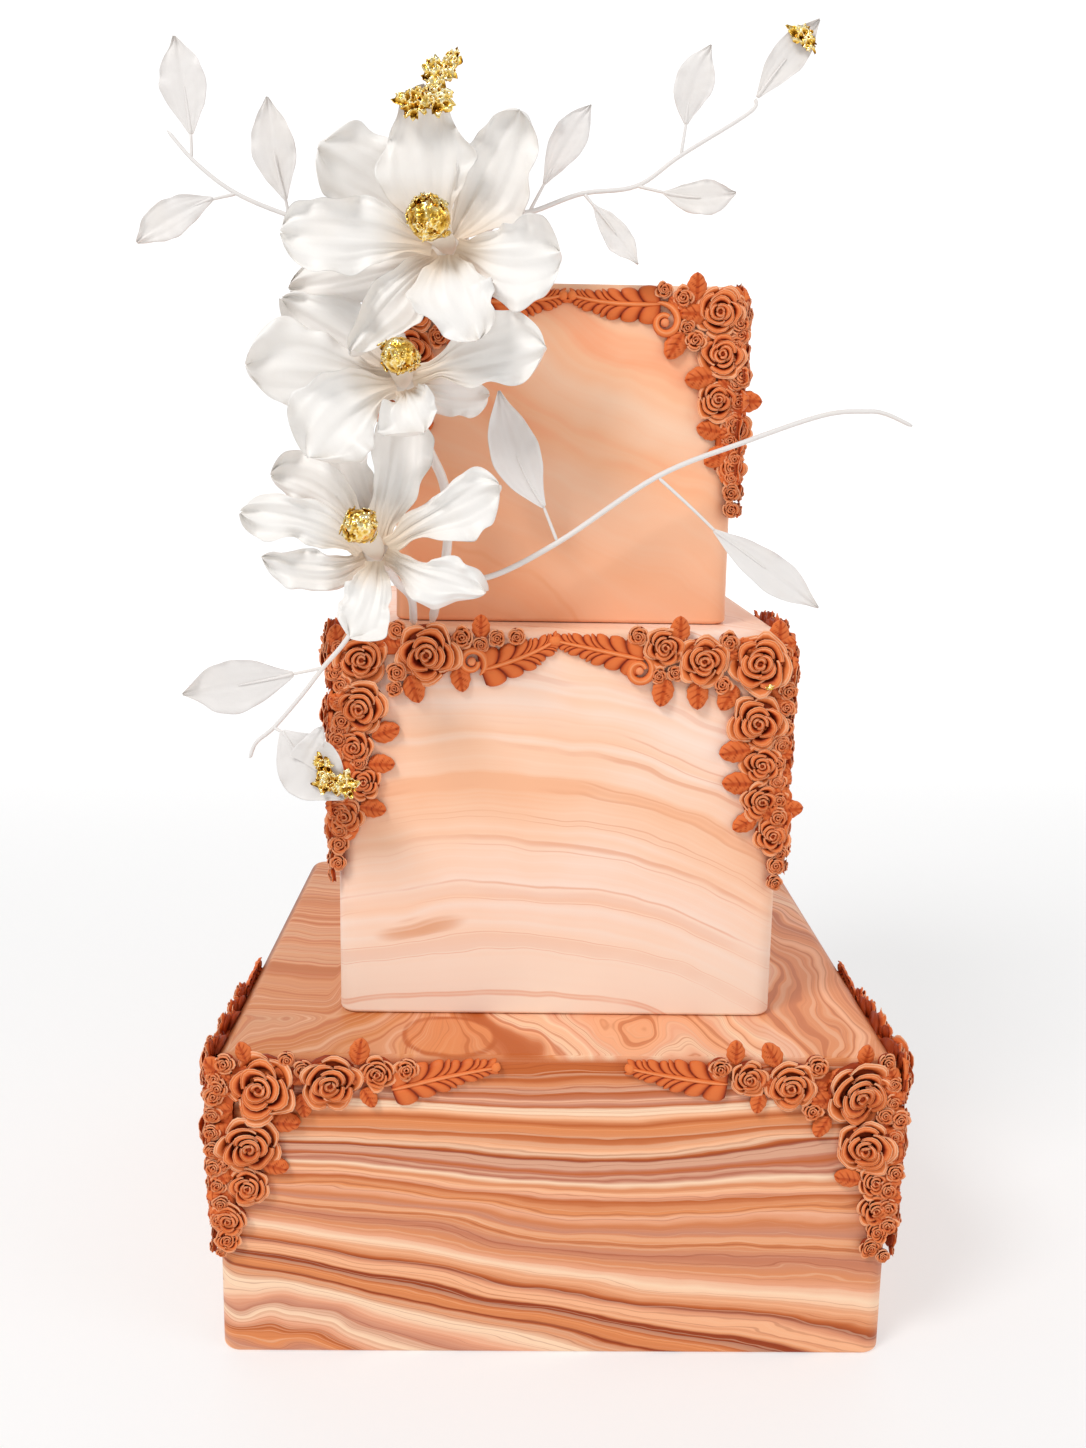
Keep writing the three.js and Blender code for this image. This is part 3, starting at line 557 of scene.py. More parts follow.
def scroll(spine, width):
    """An acanthus leaf: lobes leave the midrib forward and curl outward, with deep grooves between."""
    ends = [np.array([s, LIFT, -d]) for s, d in spine]
    lobes, fine = 9, 8
    across = np.concatenate([np.linspace(-1, 0, 13), np.linspace(0, 1, 13)[1:]])
    rows, marks = [], []
    for step in range(lobes * fine + 1):
        t = 0.9 * (1 - (1 - step / (lobes * fine)) ** 1.25)
        way = curve_through(*ends, min(1, t + 0.05)) - curve_through(*ends, max(0, t - 0.05))
        way /= np.linalg.norm(way)
        normal = np.array([-way[2], 0, way[0]])
        lobe = abs(math.sin(math.pi * step / fine)) ** 0.55
        big = 1 + 0.16 * math.cos(2 * math.pi * step / fine / 3)
        row, mark = [], []
        for u in across:
            v = abs(u)
            half = width * (0.5 - 0.36 * t) * (1 + 0.1 * big - 0.26 * (1 - lobe) * v)
            ahead = width * (0.62 - 0.34 * t) * min(1, 0.04 + 4.5 * t) * big
            ahead *= math.sin(v * 1.5) * (1 - 0.12 * (1 - lobe))
            ridge = 1.35 * (0.35 + 0.65 * lobe) * min(1, v * 3) * (1 - 0.5 * t)
            high = 1.0 + ridge + 0.9 * math.exp(-(u / 0.1) ** 2) + 0.8 * math.sin(v * 2.6) * (1 - 0.5 * t)
            high *= math.sqrt(max(0.0, 1 - v ** 7)) * 0.8 + 0.2
            row.append(curve_through(*ends, t) + way * ahead + normal * math.copysign(half * v ** 1.5, u)
                       + (0, high, 0))
            # Painted shade in the grooves between the lobes and a painted highlight along the midrib; the
            # skirt under the edge is painted darker too.
            mark.append(0.52 + 0.28 * lobe if v > 0.1 else 0.84)
        skirt = [end * (1, 0, 1) + (0, LIFT, 0) for end in (row[0], row[-1])]
        rows.append([skirt[0], *row, skirt[1]])
        marks.append([0.6, *mark, 0.6])
    body = Body().grid(np.array(rows), np.array(marks), turned=True)
    rib_height, rib_radius, knob_radius = 2.0, 1.25, 2.2
    rib = [curve_through(*ends, t) + (0, rib_height, 0) for t in np.linspace(0, 1, 22)]
    body.take(finger(rib[::-1], rib_radius))
    knob = [(knob_radius * math.cos(lift), 1.4 + knob_radius * math.sin(lift))
            for lift in np.linspace(-0.6, 1.45, 8)]
    return body.take(turned_form(ends[-1], knob, 12, 0.9))


def volute(s, d, radius, root):
    """The curled end of a scroll: a thick ribbon from the leaf's root that winds in round a button."""
    path = []
    away = math.hypot(root[0] - s, root[1] - d) + 1.5
    begin = math.atan2(d - root[1], root[0] - s) - 0.25
    for t in np.linspace(0, 1, 48):
        turn = begin + math.pi * 2.35 * t
        reach = radius * (1.12 - 0.62 * t) + max(0, away - radius * 1.12) * math.exp(-9 * t)
        path.append((s + reach * math.cos(turn), LIFT + 1.5 + 0.8 * t, -d + reach * math.sin(turn)))
    body = finger(path[::-1], 2.0)
    button = [(2.1 * math.cos(lift), 1.3 + 2.3 * math.sin(lift)) for lift in np.linspace(0, 1.45, 7)]
    return body.take(turned_form((s, LIFT, -d), button, 16, 0.92))


def backing(drop, reaches):
    """The paste that joins the pieces: it wraps the rounded corner and runs along both top edges."""
    body = Body()
    # The joining paste is painted a little darker than the faces: painted shade in the depth behind the
    # pieces.
    bend, thick, paste_mark = CORNER_RADIUS, 2.0, 0.7

    def bow(radius, turns):
        return [(bend - radius * math.sin(a), radius * math.cos(a) - bend) for a in turns]

    rows = []
    for d in np.linspace(3.0, drop, 26):
        reach = 9.5 + 1.5 * math.cos(d * 0.35) - 8 * (d / drop) ** 2.5
        flats = (reach - 0.8, (reach + bend) / 2 + 0.1)
        row = [(reach, LIFT)]
        row += [(s, LIFT + thick) for s in flats]
        row += bow(bend + LIFT + thick, np.linspace(0, math.pi / 2, 7))
        row += [(-LIFT - thick, -s) for s in reversed(flats)]
        row += [(-LIFT, -reach)]
        row += bow(bend + LIFT, np.linspace(math.pi / 2, 0, 5))
        rows.append([(s, h, -d) for s, h in row])
    body.ring(np.array(rows), paste_mark)
    for reach, turned in zip(reaches, (False, True)):
        ribbon = []
        for s in np.linspace(8, reach - 4, 12):
            half = 4.2 - 2.6 * (s / reach) ** 2
            row = [(s, LIFT + h, v - 8.5) for h, v in ((0, half), (1.4, half), (thick, half - 0.8),
                                                       (thick, 0.8 - half), (1.4, -half), (0, -half))]
            ribbon.append([(-h, -s, z) if turned else (s, h, z) for s, h, z in row])
        body.ring(np.array(ribbon), paste_mark, turned=turned)
    return body


ROSES = [rose(ROSE_RINGS, seed, columns=8, thick=0.075) for seed in range(6)]
BUDS = [rose(BUD_RINGS, seed + 20, columns=5, thick=0.11) for seed in range(4)]
LEAF = moulded_leaf()


def garland_face(face, draw, side_wing):
    """Everything on one face of a corner: x along from the corner, y out of the face, z up."""
    body = Body()
    scroll_start = face["scroll"][0][0]
    upright = [leaf for leaf in face["leaves"] if side_wing and leaf[1] < 2]
    fillers = [(s, 1.5, 4.4) for s, d, length, angle in upright]
    fillers += [(draw.uniform(-0.5, 3.5), d, draw.uniform(3.4, 4.6))
                for d in np.arange(9, face["drop"] - 6, FILLER_STEP)]
    for kinds, flowers in ((ROSES, face["roses"]), (BUDS, face["buds"] + fillers)):
        for s, d, radius in flowers:
            spin = Matrix.Rotation(draw.uniform(0, 6.3), 4, "Y")
            tilt = Matrix.Rotation(draw.uniform(-TILT, TILT), 4, "X")
            tilt = tilt @ Matrix.Rotation(draw.uniform(-TILT, TILT), 4, "Z")
            lift = LIFT + (0.7 if radius > 6 else 1.3)
            place = Matrix.Translation((s, lift, -d)) @ tilt @ spin @ Matrix.Scale(radius * FLOWER_GROWTH, 4)
            body.take(draw.choice(kinds).moved(place))
    tucked = [(draw.uniform(1, 5), d, draw.uniform(9, 12), draw.uniform(-60, 240))
              for d in np.arange(5, face["drop"] - 8, TUCKED_STEP)]
    tucked += [(s, draw.uniform(6, 12), 9, draw.uniform(-35, 35) + draw.choice((0, 180)))
               for s in np.arange(10, scroll_start - 6, 9.0)]
    for s, d, length, angle in [leaf for leaf in face["leaves"] if leaf not in upright] + tucked:
        turn = Matrix.Rotation(math.radians(-angle), 4, "Y")
        size = Matrix.Diagonal((*(length * growth for growth in LEAF_GROWTH), 1))
        body.take(LEAF.moved(Matrix.Translation((s, LIFT + 0.7, -d)) @ turn @ size))
    *spine, width = face["scroll"]
    body.take(scroll(spine, width))
    if face["volute"]:
        body.take(volute(*face["volute"], spine[0]))
    return body


def terracotta():
    """Satin sugar paste: painted highlights on the thin rims, painted shade in the deep folds, and a faint
    mottle from the mould.
    """
    paint = Paint("terracotta_paste")
    mark = paint.attribute("mark")
    mottle = paint.noise((160, 160, 160), (0, 0, 0), 3.0, 0.6)
    # The number at each point sets the colour: painted shade, dark red-brown, in the folds, the paste's
    # orange on the faces, and a painted highlight on the rims.
    colour = paint.through(mark, [(0.0, "380400"), (0.54, "741A02"), (0.67, "BE4C18"),
                                  (0.77, "E07238"), (0.9, "EE8446"), (0.97, "FCC096")])
    colour = paint.mix(mottle.between(0.45, 0.7) * 0.15, colour, "D06430")
    return paint.surface(Base_Color=colour, Roughness=0.5, Specular_IOR_Level=0.2,
                         Normal=paint.bump(mottle, 0.25, 0.0004))


TERRACOTTA = terracotta()
for tier, size in TIERS.items():
    half, top = size["width"] / 2, size["base"] + size["height"]
    for own, other, sideways in (("left", "right", -1), ("right", "left", 1)):
        wings = Body()
        for face, along, out in ((own, (-sideways, 0, 0), (0, -1, 0)), (other, (0, 1, 0), (sideways, 0, 0))):
            place = Matrix((along, out, (0, 0, 1))).transposed().to_4x4()
            place.translation = Vector((sideways * half, -half, top))
            draw = random.Random(f"{tier} {own} {face}")
            wings.take(garland_face(GARLANDS[f"{tier}_{face}"], draw, face == other).moved(place))
            if face == own:
                reaches = [GARLANDS[f"{tier}_{wing}"]["scroll"][0][0] for wing in (own, other)]
                wings.take(backing(GARLANDS[f"{tier}_{own}"]["drop"] - 13, reaches).moved(place))
        make_piece(f"moulding_{tier}_{own}", wings, TERRACOTTA, f"garland_{tier}_{own}")


# The magnolias
# White sugar paste rolled thin, cut, softened at the edges and dried over a form, then wired.
# A petal is a path from its root over its middle to its tip, measured from the flower's centre, then
# its half widths from root to tip on the clockwise side and on the other one, and how far it cups.
FLOWERS = {
    "upper": ((-52, -108, 494), {
        "top": (((-4, -2, 4), (-9, -4, 31), (-9, -6, 62)),
            (5, 10, 16, 20, 13, 3), (5, 12, 19, 20, 12, 3), 0.12),
        "upper_right": (((2, 0, 4), (17, 0, 28), (30, -5, 54)),
            (3, 13, 19, 18, 14, 6), (3, 8, 12, 14, 12, 6), 0.3),
        "upper_left": (((-4, 2, 4), (-28, 3, 24), (-55, -2, 38)),
            (2, 7, 13, 18, 17, 9), (2, 6, 12, 16, 18, 11), 0.22),
        "left": (((-7, -7, -1), (-36, -14, 1), (-68, -15, 2)),
            (2, 8, 15, 15, 14, 7), (3, 5, 10, 16, 16, 7), 0.1),
        "lower_left": (((-4, -1, -5), (-21, -10, -22), (-40, -20, -47)),
            (2, 7, 9, 10, 7, 3), (2, 7, 12, 15, 9, 3), 0.2),
        "front": (((0, -7, -5), (4, -22, -21), (14, -26, -40)),
            (3, 10, 18, 19, 12, 6), (3, 10, 14, 15, 13, 6), 0.12),
        "right": (((4, -4, -1), (26, -14, -6), (47, -16, -4)),
            (2, 8, 17, 20, 17, 9), (2, 6, 12, 15, 15, 10), 0.25),
        "back_left": (((-5, 6, -2), (-34, 8, -10), (-69, 8, -18)),
            (2, 6, 11, 12, 11, 5), (2, 6, 11, 12, 10, 5), 0.05)}),
    "middle": ((-71, -114, 438), {
        "left": (((-5, -2, 1), (-30, -6, 3), (-65, -10, 4)),
            (2, 4, 10, 18, 20, 9), (2, 5, 9, 16, 17, 9), 0.16),
        "upper_left": (((-3, 3, 3), (-24, 3, 19), (-51, 4, 33)),
            (2, 6, 11, 13, 9, 3), (2, 6, 11, 15, 13, 4), 0.1),
        "lower_left": (((-3, -5, -3), (-21, -18, -14), (-37, -22, -33)),
            (2, 8, 16, 20, 18, 9), (2, 6, 12, 17, 17, 10), 0.2),
        "front": (((2, -8, -5), (5, -18, -12), (11, -22, -22)),
            (2, 3, 8, 15, 15, 5), (3, 6, 9, 10, 9, 3), 0.2),
        "right": (((4, -3, 1), (32, -8, 9), (61, -12, 14)),
            (2, 3, 11, 12, 13, 7), (2, 5, 12, 16, 17, 9), 0.14),
        "lower_right": (((4, 4, -2), (20, 8, -5), (36, 12, -5)),
            (2, 6, 9, 10, 9, 4), (2, 6, 9, 10, 9, 4), 0.05),
        "upper": (((-1, 7, 5), (-6, 8, 13), (-11, 10, 25)),
            (2, 5, 8, 9, 7, 3), (2, 5, 8, 9, 7, 3), 0.05)}),
    "lower": ((-82, -120, 365), {
        "top": (((1, 0, 4), (8, 3, 31), (12, 8, 60)),
            (2, 5, 11, 14, 13, 8), (2, 8, 9, 10, 12, 8), 0.25),
        "right": (((5, -3, 3), (30, -6, 18), (53, -8, 30)),
            (2, 4, 10, 15, 15, 8), (2, 7, 7, 10, 11, 5), 0.2),
        "lower_right": (((4, -2, -1), (24, -12, -9), (48, -18, -15)),
            (2, 5, 12, 13, 6, 4), (2, 4, 5, 10, 10, 3), 0.15),
        "bottom": (((0, -6, -4), (-2, -18, -19), (-9, -22, -34)),
            (2, 8, 11, 10, 11, 9), (2, 6, 9, 11, 12, 8), 0.15),
        "lower_left": (((-5, 0, -3), (-25, -6, -8), (-48, -8, -2)),
            (2, 5, 8, 9, 7, 4), (2, 6, 9, 9, 8, 4), 0.12),
        "left": (((-6, -4, 1), (-27, -8, 13), (-56, -8, 17)),
            (2, 5, 8, 9, 9, 6), (2, 6, 9, 9, 12, 6), 0.16),
        "upper_left": (((-3, 2, 4), (-23, 2, 25), (-45, 2, 32)),
            (2, 5, 11, 14, 12, 5), (2, 4, 7, 10, 9, 5), 0.15),
        "upper": (((-1, 6, 4), (-9, 8, 25), (-18, 8, 45)),
            (2, 4, 8, 10, 11, 6), (2, 4, 7, 9, 10, 6), 0.12)}),
}
SHEET = 1.2
PETAL_CURL = dict(round=0.2, blunt=0.85, uneven=1.0, ruffle=3.1, folds=0.85, rolled=2.0, root=4.2,
                  rib=0.5, rib_reach=0.55, veins=0.0, bow=4.0, pale=0.0)


def smooth_through(values, place):
    """Values at the knots 0, 1, 2 and on, joined smoothly and read at a place between them."""
    values = [np.asarray(value, float) for value in values]
    values = [2 * values[0] - values[1], *values, 2 * values[-1] - values[-2]]
    k = min(int(place), len(values) - 4)
    a, b, c, d = values[k:k + 4]
    t = place - k
    bend, twist = 2 * a - 5 * b + 4 * c - d, 3 * b - a - 3 * c + d
    return 0.5 * (2 * b + (c - a) * t + bend * t ** 2 + twist * t ** 3)


def blade(path, edges, cup, curl, seed, across=32, along=36):
    """A thin curved blade with both its faces: ruffled and rolled edges, soft lengthwise folds, a rib."""
    root, middle, tip = (np.array(point, float) for point in path)
    bend = 2 * middle - 0.5 * root - 0.5 * tip
    share = 1 - (1 - np.linspace(0, 1, along + 1)[:, None, None]) ** 1.35
    s = np.linspace(-1, 1, across + 1)[None, :, None]
    s = s * (1.25 - 0.25 * s ** 2)
    draw = random.Random(seed)
    centre = curve_through(root, middle, tip, share)
    tangent = (bend - root) * (1 - share) + (tip - bend) * share
    tangent = tangent / np.linalg.norm(tangent, axis=-1, keepdims=True)
    front = np.array([0.0, -1.0, 0.0])
    normal = front - tangent * (tangent @ front)[..., None]
    normal /= np.linalg.norm(normal, axis=-1, keepdims=True)
    side = np.cross(tangent, normal)

    def outline(widths):
        widths = (*widths[:-1], max(widths[-1], curl["blunt"] * widths[-2]))
        places = share.ravel() * (len(widths) - 1)
        wide = np.array([max(0.4, smooth_through(widths, place)) for place in places])[:, None, None]
        closing = np.clip((share - 0.8) / 0.2, 0, 1) ** 2.4
        return wide * (np.sqrt(np.maximum(1 - closing, 0.004)) if curl["blunt"] else 1)

    half = np.where(s > 0, outline(edges[0]), outline(edges[1]))
    half = np.maximum(half, curl["root"] * np.clip(1.3 - 3 * share, 0, 1))
    spine = np.abs(s)
    turns = [draw.uniform(0, 6.3) for _ in range(8)]
    wave = np.where(s > 0, np.sin(9 * share + turns[0]) + 0.6 * np.sin(17 * share + turns[1]),
                    np.sin(8 * share + turns[2]) + 0.6 * np.sin(19 * share + turns[3]))
    ends = np.sin(7 * s + turns[4]) * np.clip((share - 0.6) / 0.4, 0, 1) ** 2
    frill = 0.38 * spine ** 5 * (np.sin(25 * share + turns[6] + np.sign(s)) + np.sin(39 * share + turns[7]))
    ruffle = curl["ruffle"] * ((wave * spine ** 2.6 + frill) * np.minimum(1, share * 2) + 0.7 * ends)
    fade = np.minimum(1, share * 4) * (1.15 - share)
    folds = curl["folds"] * fade * (np.cos(8.5 * s + turns[5] + 0.8 * np.sin(5 * share)) * (1 - 0.4 * spine)
                                    + 0.5 * np.cos(19 * s + turns[6] + 0.6 * share)
                                    + 0.3 * np.cos(33 * s + turns[7] + 1.5 * share))
    rolls = np.where(s > 0, draw.choice((1, 1, -1)), draw.choice((1, -1, 1)))
    rolls = rolls * np.clip((spine - 0.8) / 0.2, 0, 1) ** 2 * np.minimum(1, share * 3)
    rolled = curl["rolled"] * (rolls + np.clip((share - 0.9) / 0.1, 0, 1) ** 2)
    rib = curl["rib"] * np.exp(-(s * half / 0.55) ** 2) * np.clip((curl["rib_reach"] - share) * 9, 0, 1)
    slants = np.maximum(np.cos(2 * np.pi * (share * 7 - spine * 1.4)), 0) ** 4 * spine ** 0.4 * (1 - spine)
    groove = curl["veins"] * (slants + 0.8 * np.exp(-(spine / 0.07) ** 2))
    bow = curl["bow"] * draw.uniform(-1, 1) * np.sin(np.pi * share)
    lie = cup * half * s ** 2 + ruffle + folds + rolled + rib - groove + bow * 0.4
    jagged = 0.09 * np.sin(11 * share + turns[1] * s) + 0.04 * np.sin(27 * share + turns[3] * s)
    edge = 1 + curl["uneven"] * spine ** 3 * jagged
    shape = centre + side * s * half * edge + normal * lie
    notch = 0.16 * np.sin(4.6 * s + turns[0]) + 0.1 * np.sin(10 * s + turns[2])
    late = np.clip((share - 0.55) / 0.45, 0, 1) ** 2
    shape = shape - tangent * half * late * (curl["round"] * s ** 2 + (notch if curl["blunt"] else 0))
    half_thick = SHEET / 2 * (1 - 0.55 * spine ** 4)
    upper, under = shape + normal * half_thick, shape - normal * half_thick
    rows = np.concatenate([upper, under[:, ::-1]], axis=1)
    # The number at each point is its share from the root; the white paste is painted creamier where it is
    # low, partly as shade.
    mark = np.concatenate([np.maximum(share[..., 0], curl["pale"]) + 0 * s[..., 0]] * 2, axis=1)
    body = Body().grid(rows, mark, round_rows=True)
    for row, turned in ((0, True), (-1, False)):
        body.grid(np.stack([upper[row], under[row]]), mark[row, 0], turned=turned)
    return body


def sugar_white(name, pale):
    """Matt white paste, creamier near the root, partly a cream tint and partly painted shade deep in the
    flower, with faint long creases.
    """
    paint = Paint(name)
    mark = paint.attribute("mark")
    cloud = paint.noise((38, 38, 38), (0, 0, 0), 3.0, 0.55)
    grain = paint.noise((260, 260, 260), (0, 0, 0), 3.0, 0.6)
    # A cream tint and painted shade: the colour goes creamier towards the root, where the number is low.
    colour = paint.mix(mark.between(0.0, 0.48), "E4D0B8", pale)
    colour = paint.mix(cloud.between(0.45, 0.7) * 0.35, colour, "EFE8E0")
    return paint.surface(Base_Color=colour, Roughness=0.5,
                         Normal=paint.bump(cloud + grain * 0.15, 0.35, 0.002))


SUGAR_WHITE = sugar_white("petal_paste", "F4F1ED")
for flower, (centre, petals) in FLOWERS.items():
    for petal, (path, clockwise, counter, cup) in petals.items():
        path = np.array(path) + np.array(centre)
        body = blade(path, (clockwise, counter), cup, PETAL_CURL, f"{flower} {petal}")
        make_piece(f"sugar_{flower}_{petal}", body, SUGAR_WHITE, f"magnolia_{flower}_petal_{petal}")


# The gilded hearts
# A ball of paste on a short cream neck in the middle of each flower, covered with crumpled leaf of
# edible gold. A flake of it stands crumpled on the tip of the upper flower's top petal, and a fleck
# lies on the right corner rose of the middle tier.
HEARTS = {"upper": ((-7, -20, 8), 9.0), "middle": ((0, -20, 9), 7.7), "lower": ((-5, -20, 12), 7.4)}


def crumple(points, size, seed):
    """Sharp-edged folds between about -1 in the creases and 1 on the ridges, one number a point."""
    shift = Vector((seed * 7.3, seed * 3.1, seed * 1.7))
    folds = []
    for point in points.reshape(-1, 3):
        where = Vector(point) / size + shift
        ridge = 1 - abs(noise.noise(where)) * 3.2
        small = 1 - abs(noise.noise(where * 2.1)) * 3.2
        folds.append(ridge * 0.6 + small * 0.4)
    return np.array(folds).reshape(points.shape[:-1])


def torn_leaf(centre, along, across, out, seed, folds=1.3, rings=17, spokes=54):
    """A torn, crumpled scrap of leaf: a ragged sheet round a centre, its half lengths along and across."""
    centre, along, across, out = (np.array(v, float) for v in (centre, along, across, out))
    out = out / np.linalg.norm(out)
    shift = Vector((seed * 3.7, seed * 5.1, 0.3))
    rows = []
    for share in np.linspace(0.02, 1, rings):
        row = []
        for turn in around(spokes):
            way = Vector((math.cos(turn), math.sin(turn), 0.0))
            ragged = 0.86 + 0.55 * noise.noise(way * 1.6 + shift) + 0.4 * noise.noise(way * 5.0 + shift)
            reach = share * (1 + (ragged - 1) * share)
            row.append(centre + (along * way.x + across * way.y) * reach)
        rows.append(row)
    rows = np.array(rows)
    lift = crumple(rows, 2.6, seed)
    face = rows + out * (folds * (lift + 0.4))[..., None]
    back = rows + out * (folds * (lift + 0.4) - 0.5)[..., None]
    sheet, marks = np.concatenate([face, back[::-1]]), np.concatenate([lift, lift[::-1]])
    return Body().ring(sheet, marks, turned=True)


def gold_ball(centre, radius, seed):
    """A ball creased all over, with small scraps of leaf that stand off it."""
    lift = np.linspace(-1.5, 1.5, 48)[:, None]
    turn = around(80)[None, :]
    ways = np.stack([np.cos(lift) * np.cos(turn), np.cos(lift) * np.sin(turn), np.sin(lift) + 0 * turn], -1)
    folds = crumple(ways * radius * (1.0, 1.0, 0.6), 4.4, seed) * 0.6
    folds = folds + crumple(ways * radius, 1.9, seed + 4) * 0.4
    points = centre + ways * (radius * (0.92 + 0.11 * folds))[..., None]
    body = Body().ring(points, folds)
    draw = random.Random(seed)
    for k in range(16):
        way = Vector((draw.uniform(-1, 1), draw.uniform(-1, 0.3), draw.uniform(-1, 1))).normalized()
        first = way.orthogonal().normalized()
        second = way.cross(first)
        scrap = radius * draw.uniform(0.28, 0.42)
        tilt = way * draw.uniform(-0.3, 0.45)
        body.take(torn_leaf(centre + np.array(way) * radius * 0.98, (first + tilt) * scrap,
                            (second - tilt) * scrap * 0.7, way, seed + k, radius * 0.09,
                            rings=8, spokes=28))
    return body


def neck(centre, offset, radius):
    """The cream neck that flares under the ball, and a small flat calyx behind it."""
    turn = Vector((0, 0, 1)).rotation_difference(Vector(offset)).to_matrix()
    reach = Vector(offset).length
    rows = []
    for along, size in ((-6, 2.0), (0, 3.6), (4, 4.4), (8, 4.9), (reach - radius * 0.9, radius * 0.72),
                        (reach - radius * 0.5, radius * 0.84), (reach - radius * 0.2, radius * 0.8)):
        rows.append([Vector(centre) + turn @ Vector((size * math.cos(a), size * math.sin(a), along))
                     for a in around(20)])
    # The low numbers paint the neck and calyx cream: partly the paste's cream, partly painted shade under the
    # ball.
    body = Body().ring(np.array(rows), 0.2)
    calyx = [(9.5 * math.cos(lift), 2.5 - 3.5 * math.sin(lift)) for lift in np.linspace(-1.4, 1.4, 10)]
    return body.take(turned_form(centre, calyx[::-1], 24, 0.3, caps=(True, True)))


def gold_leaf():
    """Bright crumpled metal leaf, with painted shade, darker and redder, in its folds and painted highlights
    on its ridges.
    """
    paint = Paint("gold_leaf")
    folds = paint.noise((300, 300, 300), (0, 0, 0), 3.0, 0.6)
    mark = paint.attribute("mark")
    # Painted shade in the creases and painted highlights on the ridges, from the number at each point and a
    # fine noise.
    colour = paint.through(mark * 0.75 + folds * 0.5, [(-0.1, "7A4A08"), (0.2, "D09A30"),
                                                       (0.5, "F8D06A"), (0.85, "FFF6CC")])
    return paint.surface(Base_Color=colour, Metallic=1.0, Roughness=0.22,
                         Normal=paint.bump(folds, 0.6, 0.0012))


GOLD_LEAF = gold_leaf()
for number, (flower, (offset, radius)) in enumerate(HEARTS.items()):
    centre = FLOWERS[flower][0]
    ball = np.array(centre, float) + np.array(offset)
    make_piece(f"gold_ball_{flower}", gold_ball(ball, radius, number + 1), GOLD_LEAF,
               f"magnolia_{flower}_centre")
    make_piece(f"neck_{flower}", neck(centre, offset, radius), SUGAR_WHITE,
               f"magnolia_{flower}_centre")


def golden(name, node, scraps):
    """Scraps of torn leaf that lie on one another: centre, along, across, way out, seed and folds of each."""
    body = Body()
    for scrap in scraps:
        body.take(torn_leaf(*scrap))
    make_piece(name, body, GOLD_LEAF, node)


golden("gold_flake", "magnolia_upper_gold_flake", [
    ((-65, -121, 548.5), (8.5, 0, 1.5), (-1.5, 0, 7.0), (0, -1, 0.2), 1, 1.8),
    ((-57, -121.5, 551), (7.0, 0, 1.0), (-1.5, 0, 7.5), (0.3, -1, 0), 2, 1.8),
    ((-56, -121.5, 559), (4.5, 0, 5), (-5, 0.5, 3.5), (-0.2, -1, 0.2), 3, 1.5),
    ((-52, -121, 562), (3.2, 0, 5), (-3.2, 0, 2.4), (0, -1, 0), 4, 1.2),
    ((-49.8, -121, 566.5), (2.2, 0, 3.2), (-2.2, 0, 1.6), (0.2, -1, 0), 5, 0.9),
    ((-59, -121, 562.5), (1.6, 0, 4.2), (-2.2, 0, 1.0), (0, -1, 0), 12, 0.8)])
golden("gold_fleck", "garland_middle_right", [
    ((93.5, -111.2, 306.3), (1.9, 0, 0.6), (-0.5, 0, 1.3), (0, -1, 0.3), 6, 0.5, 8, 28)])


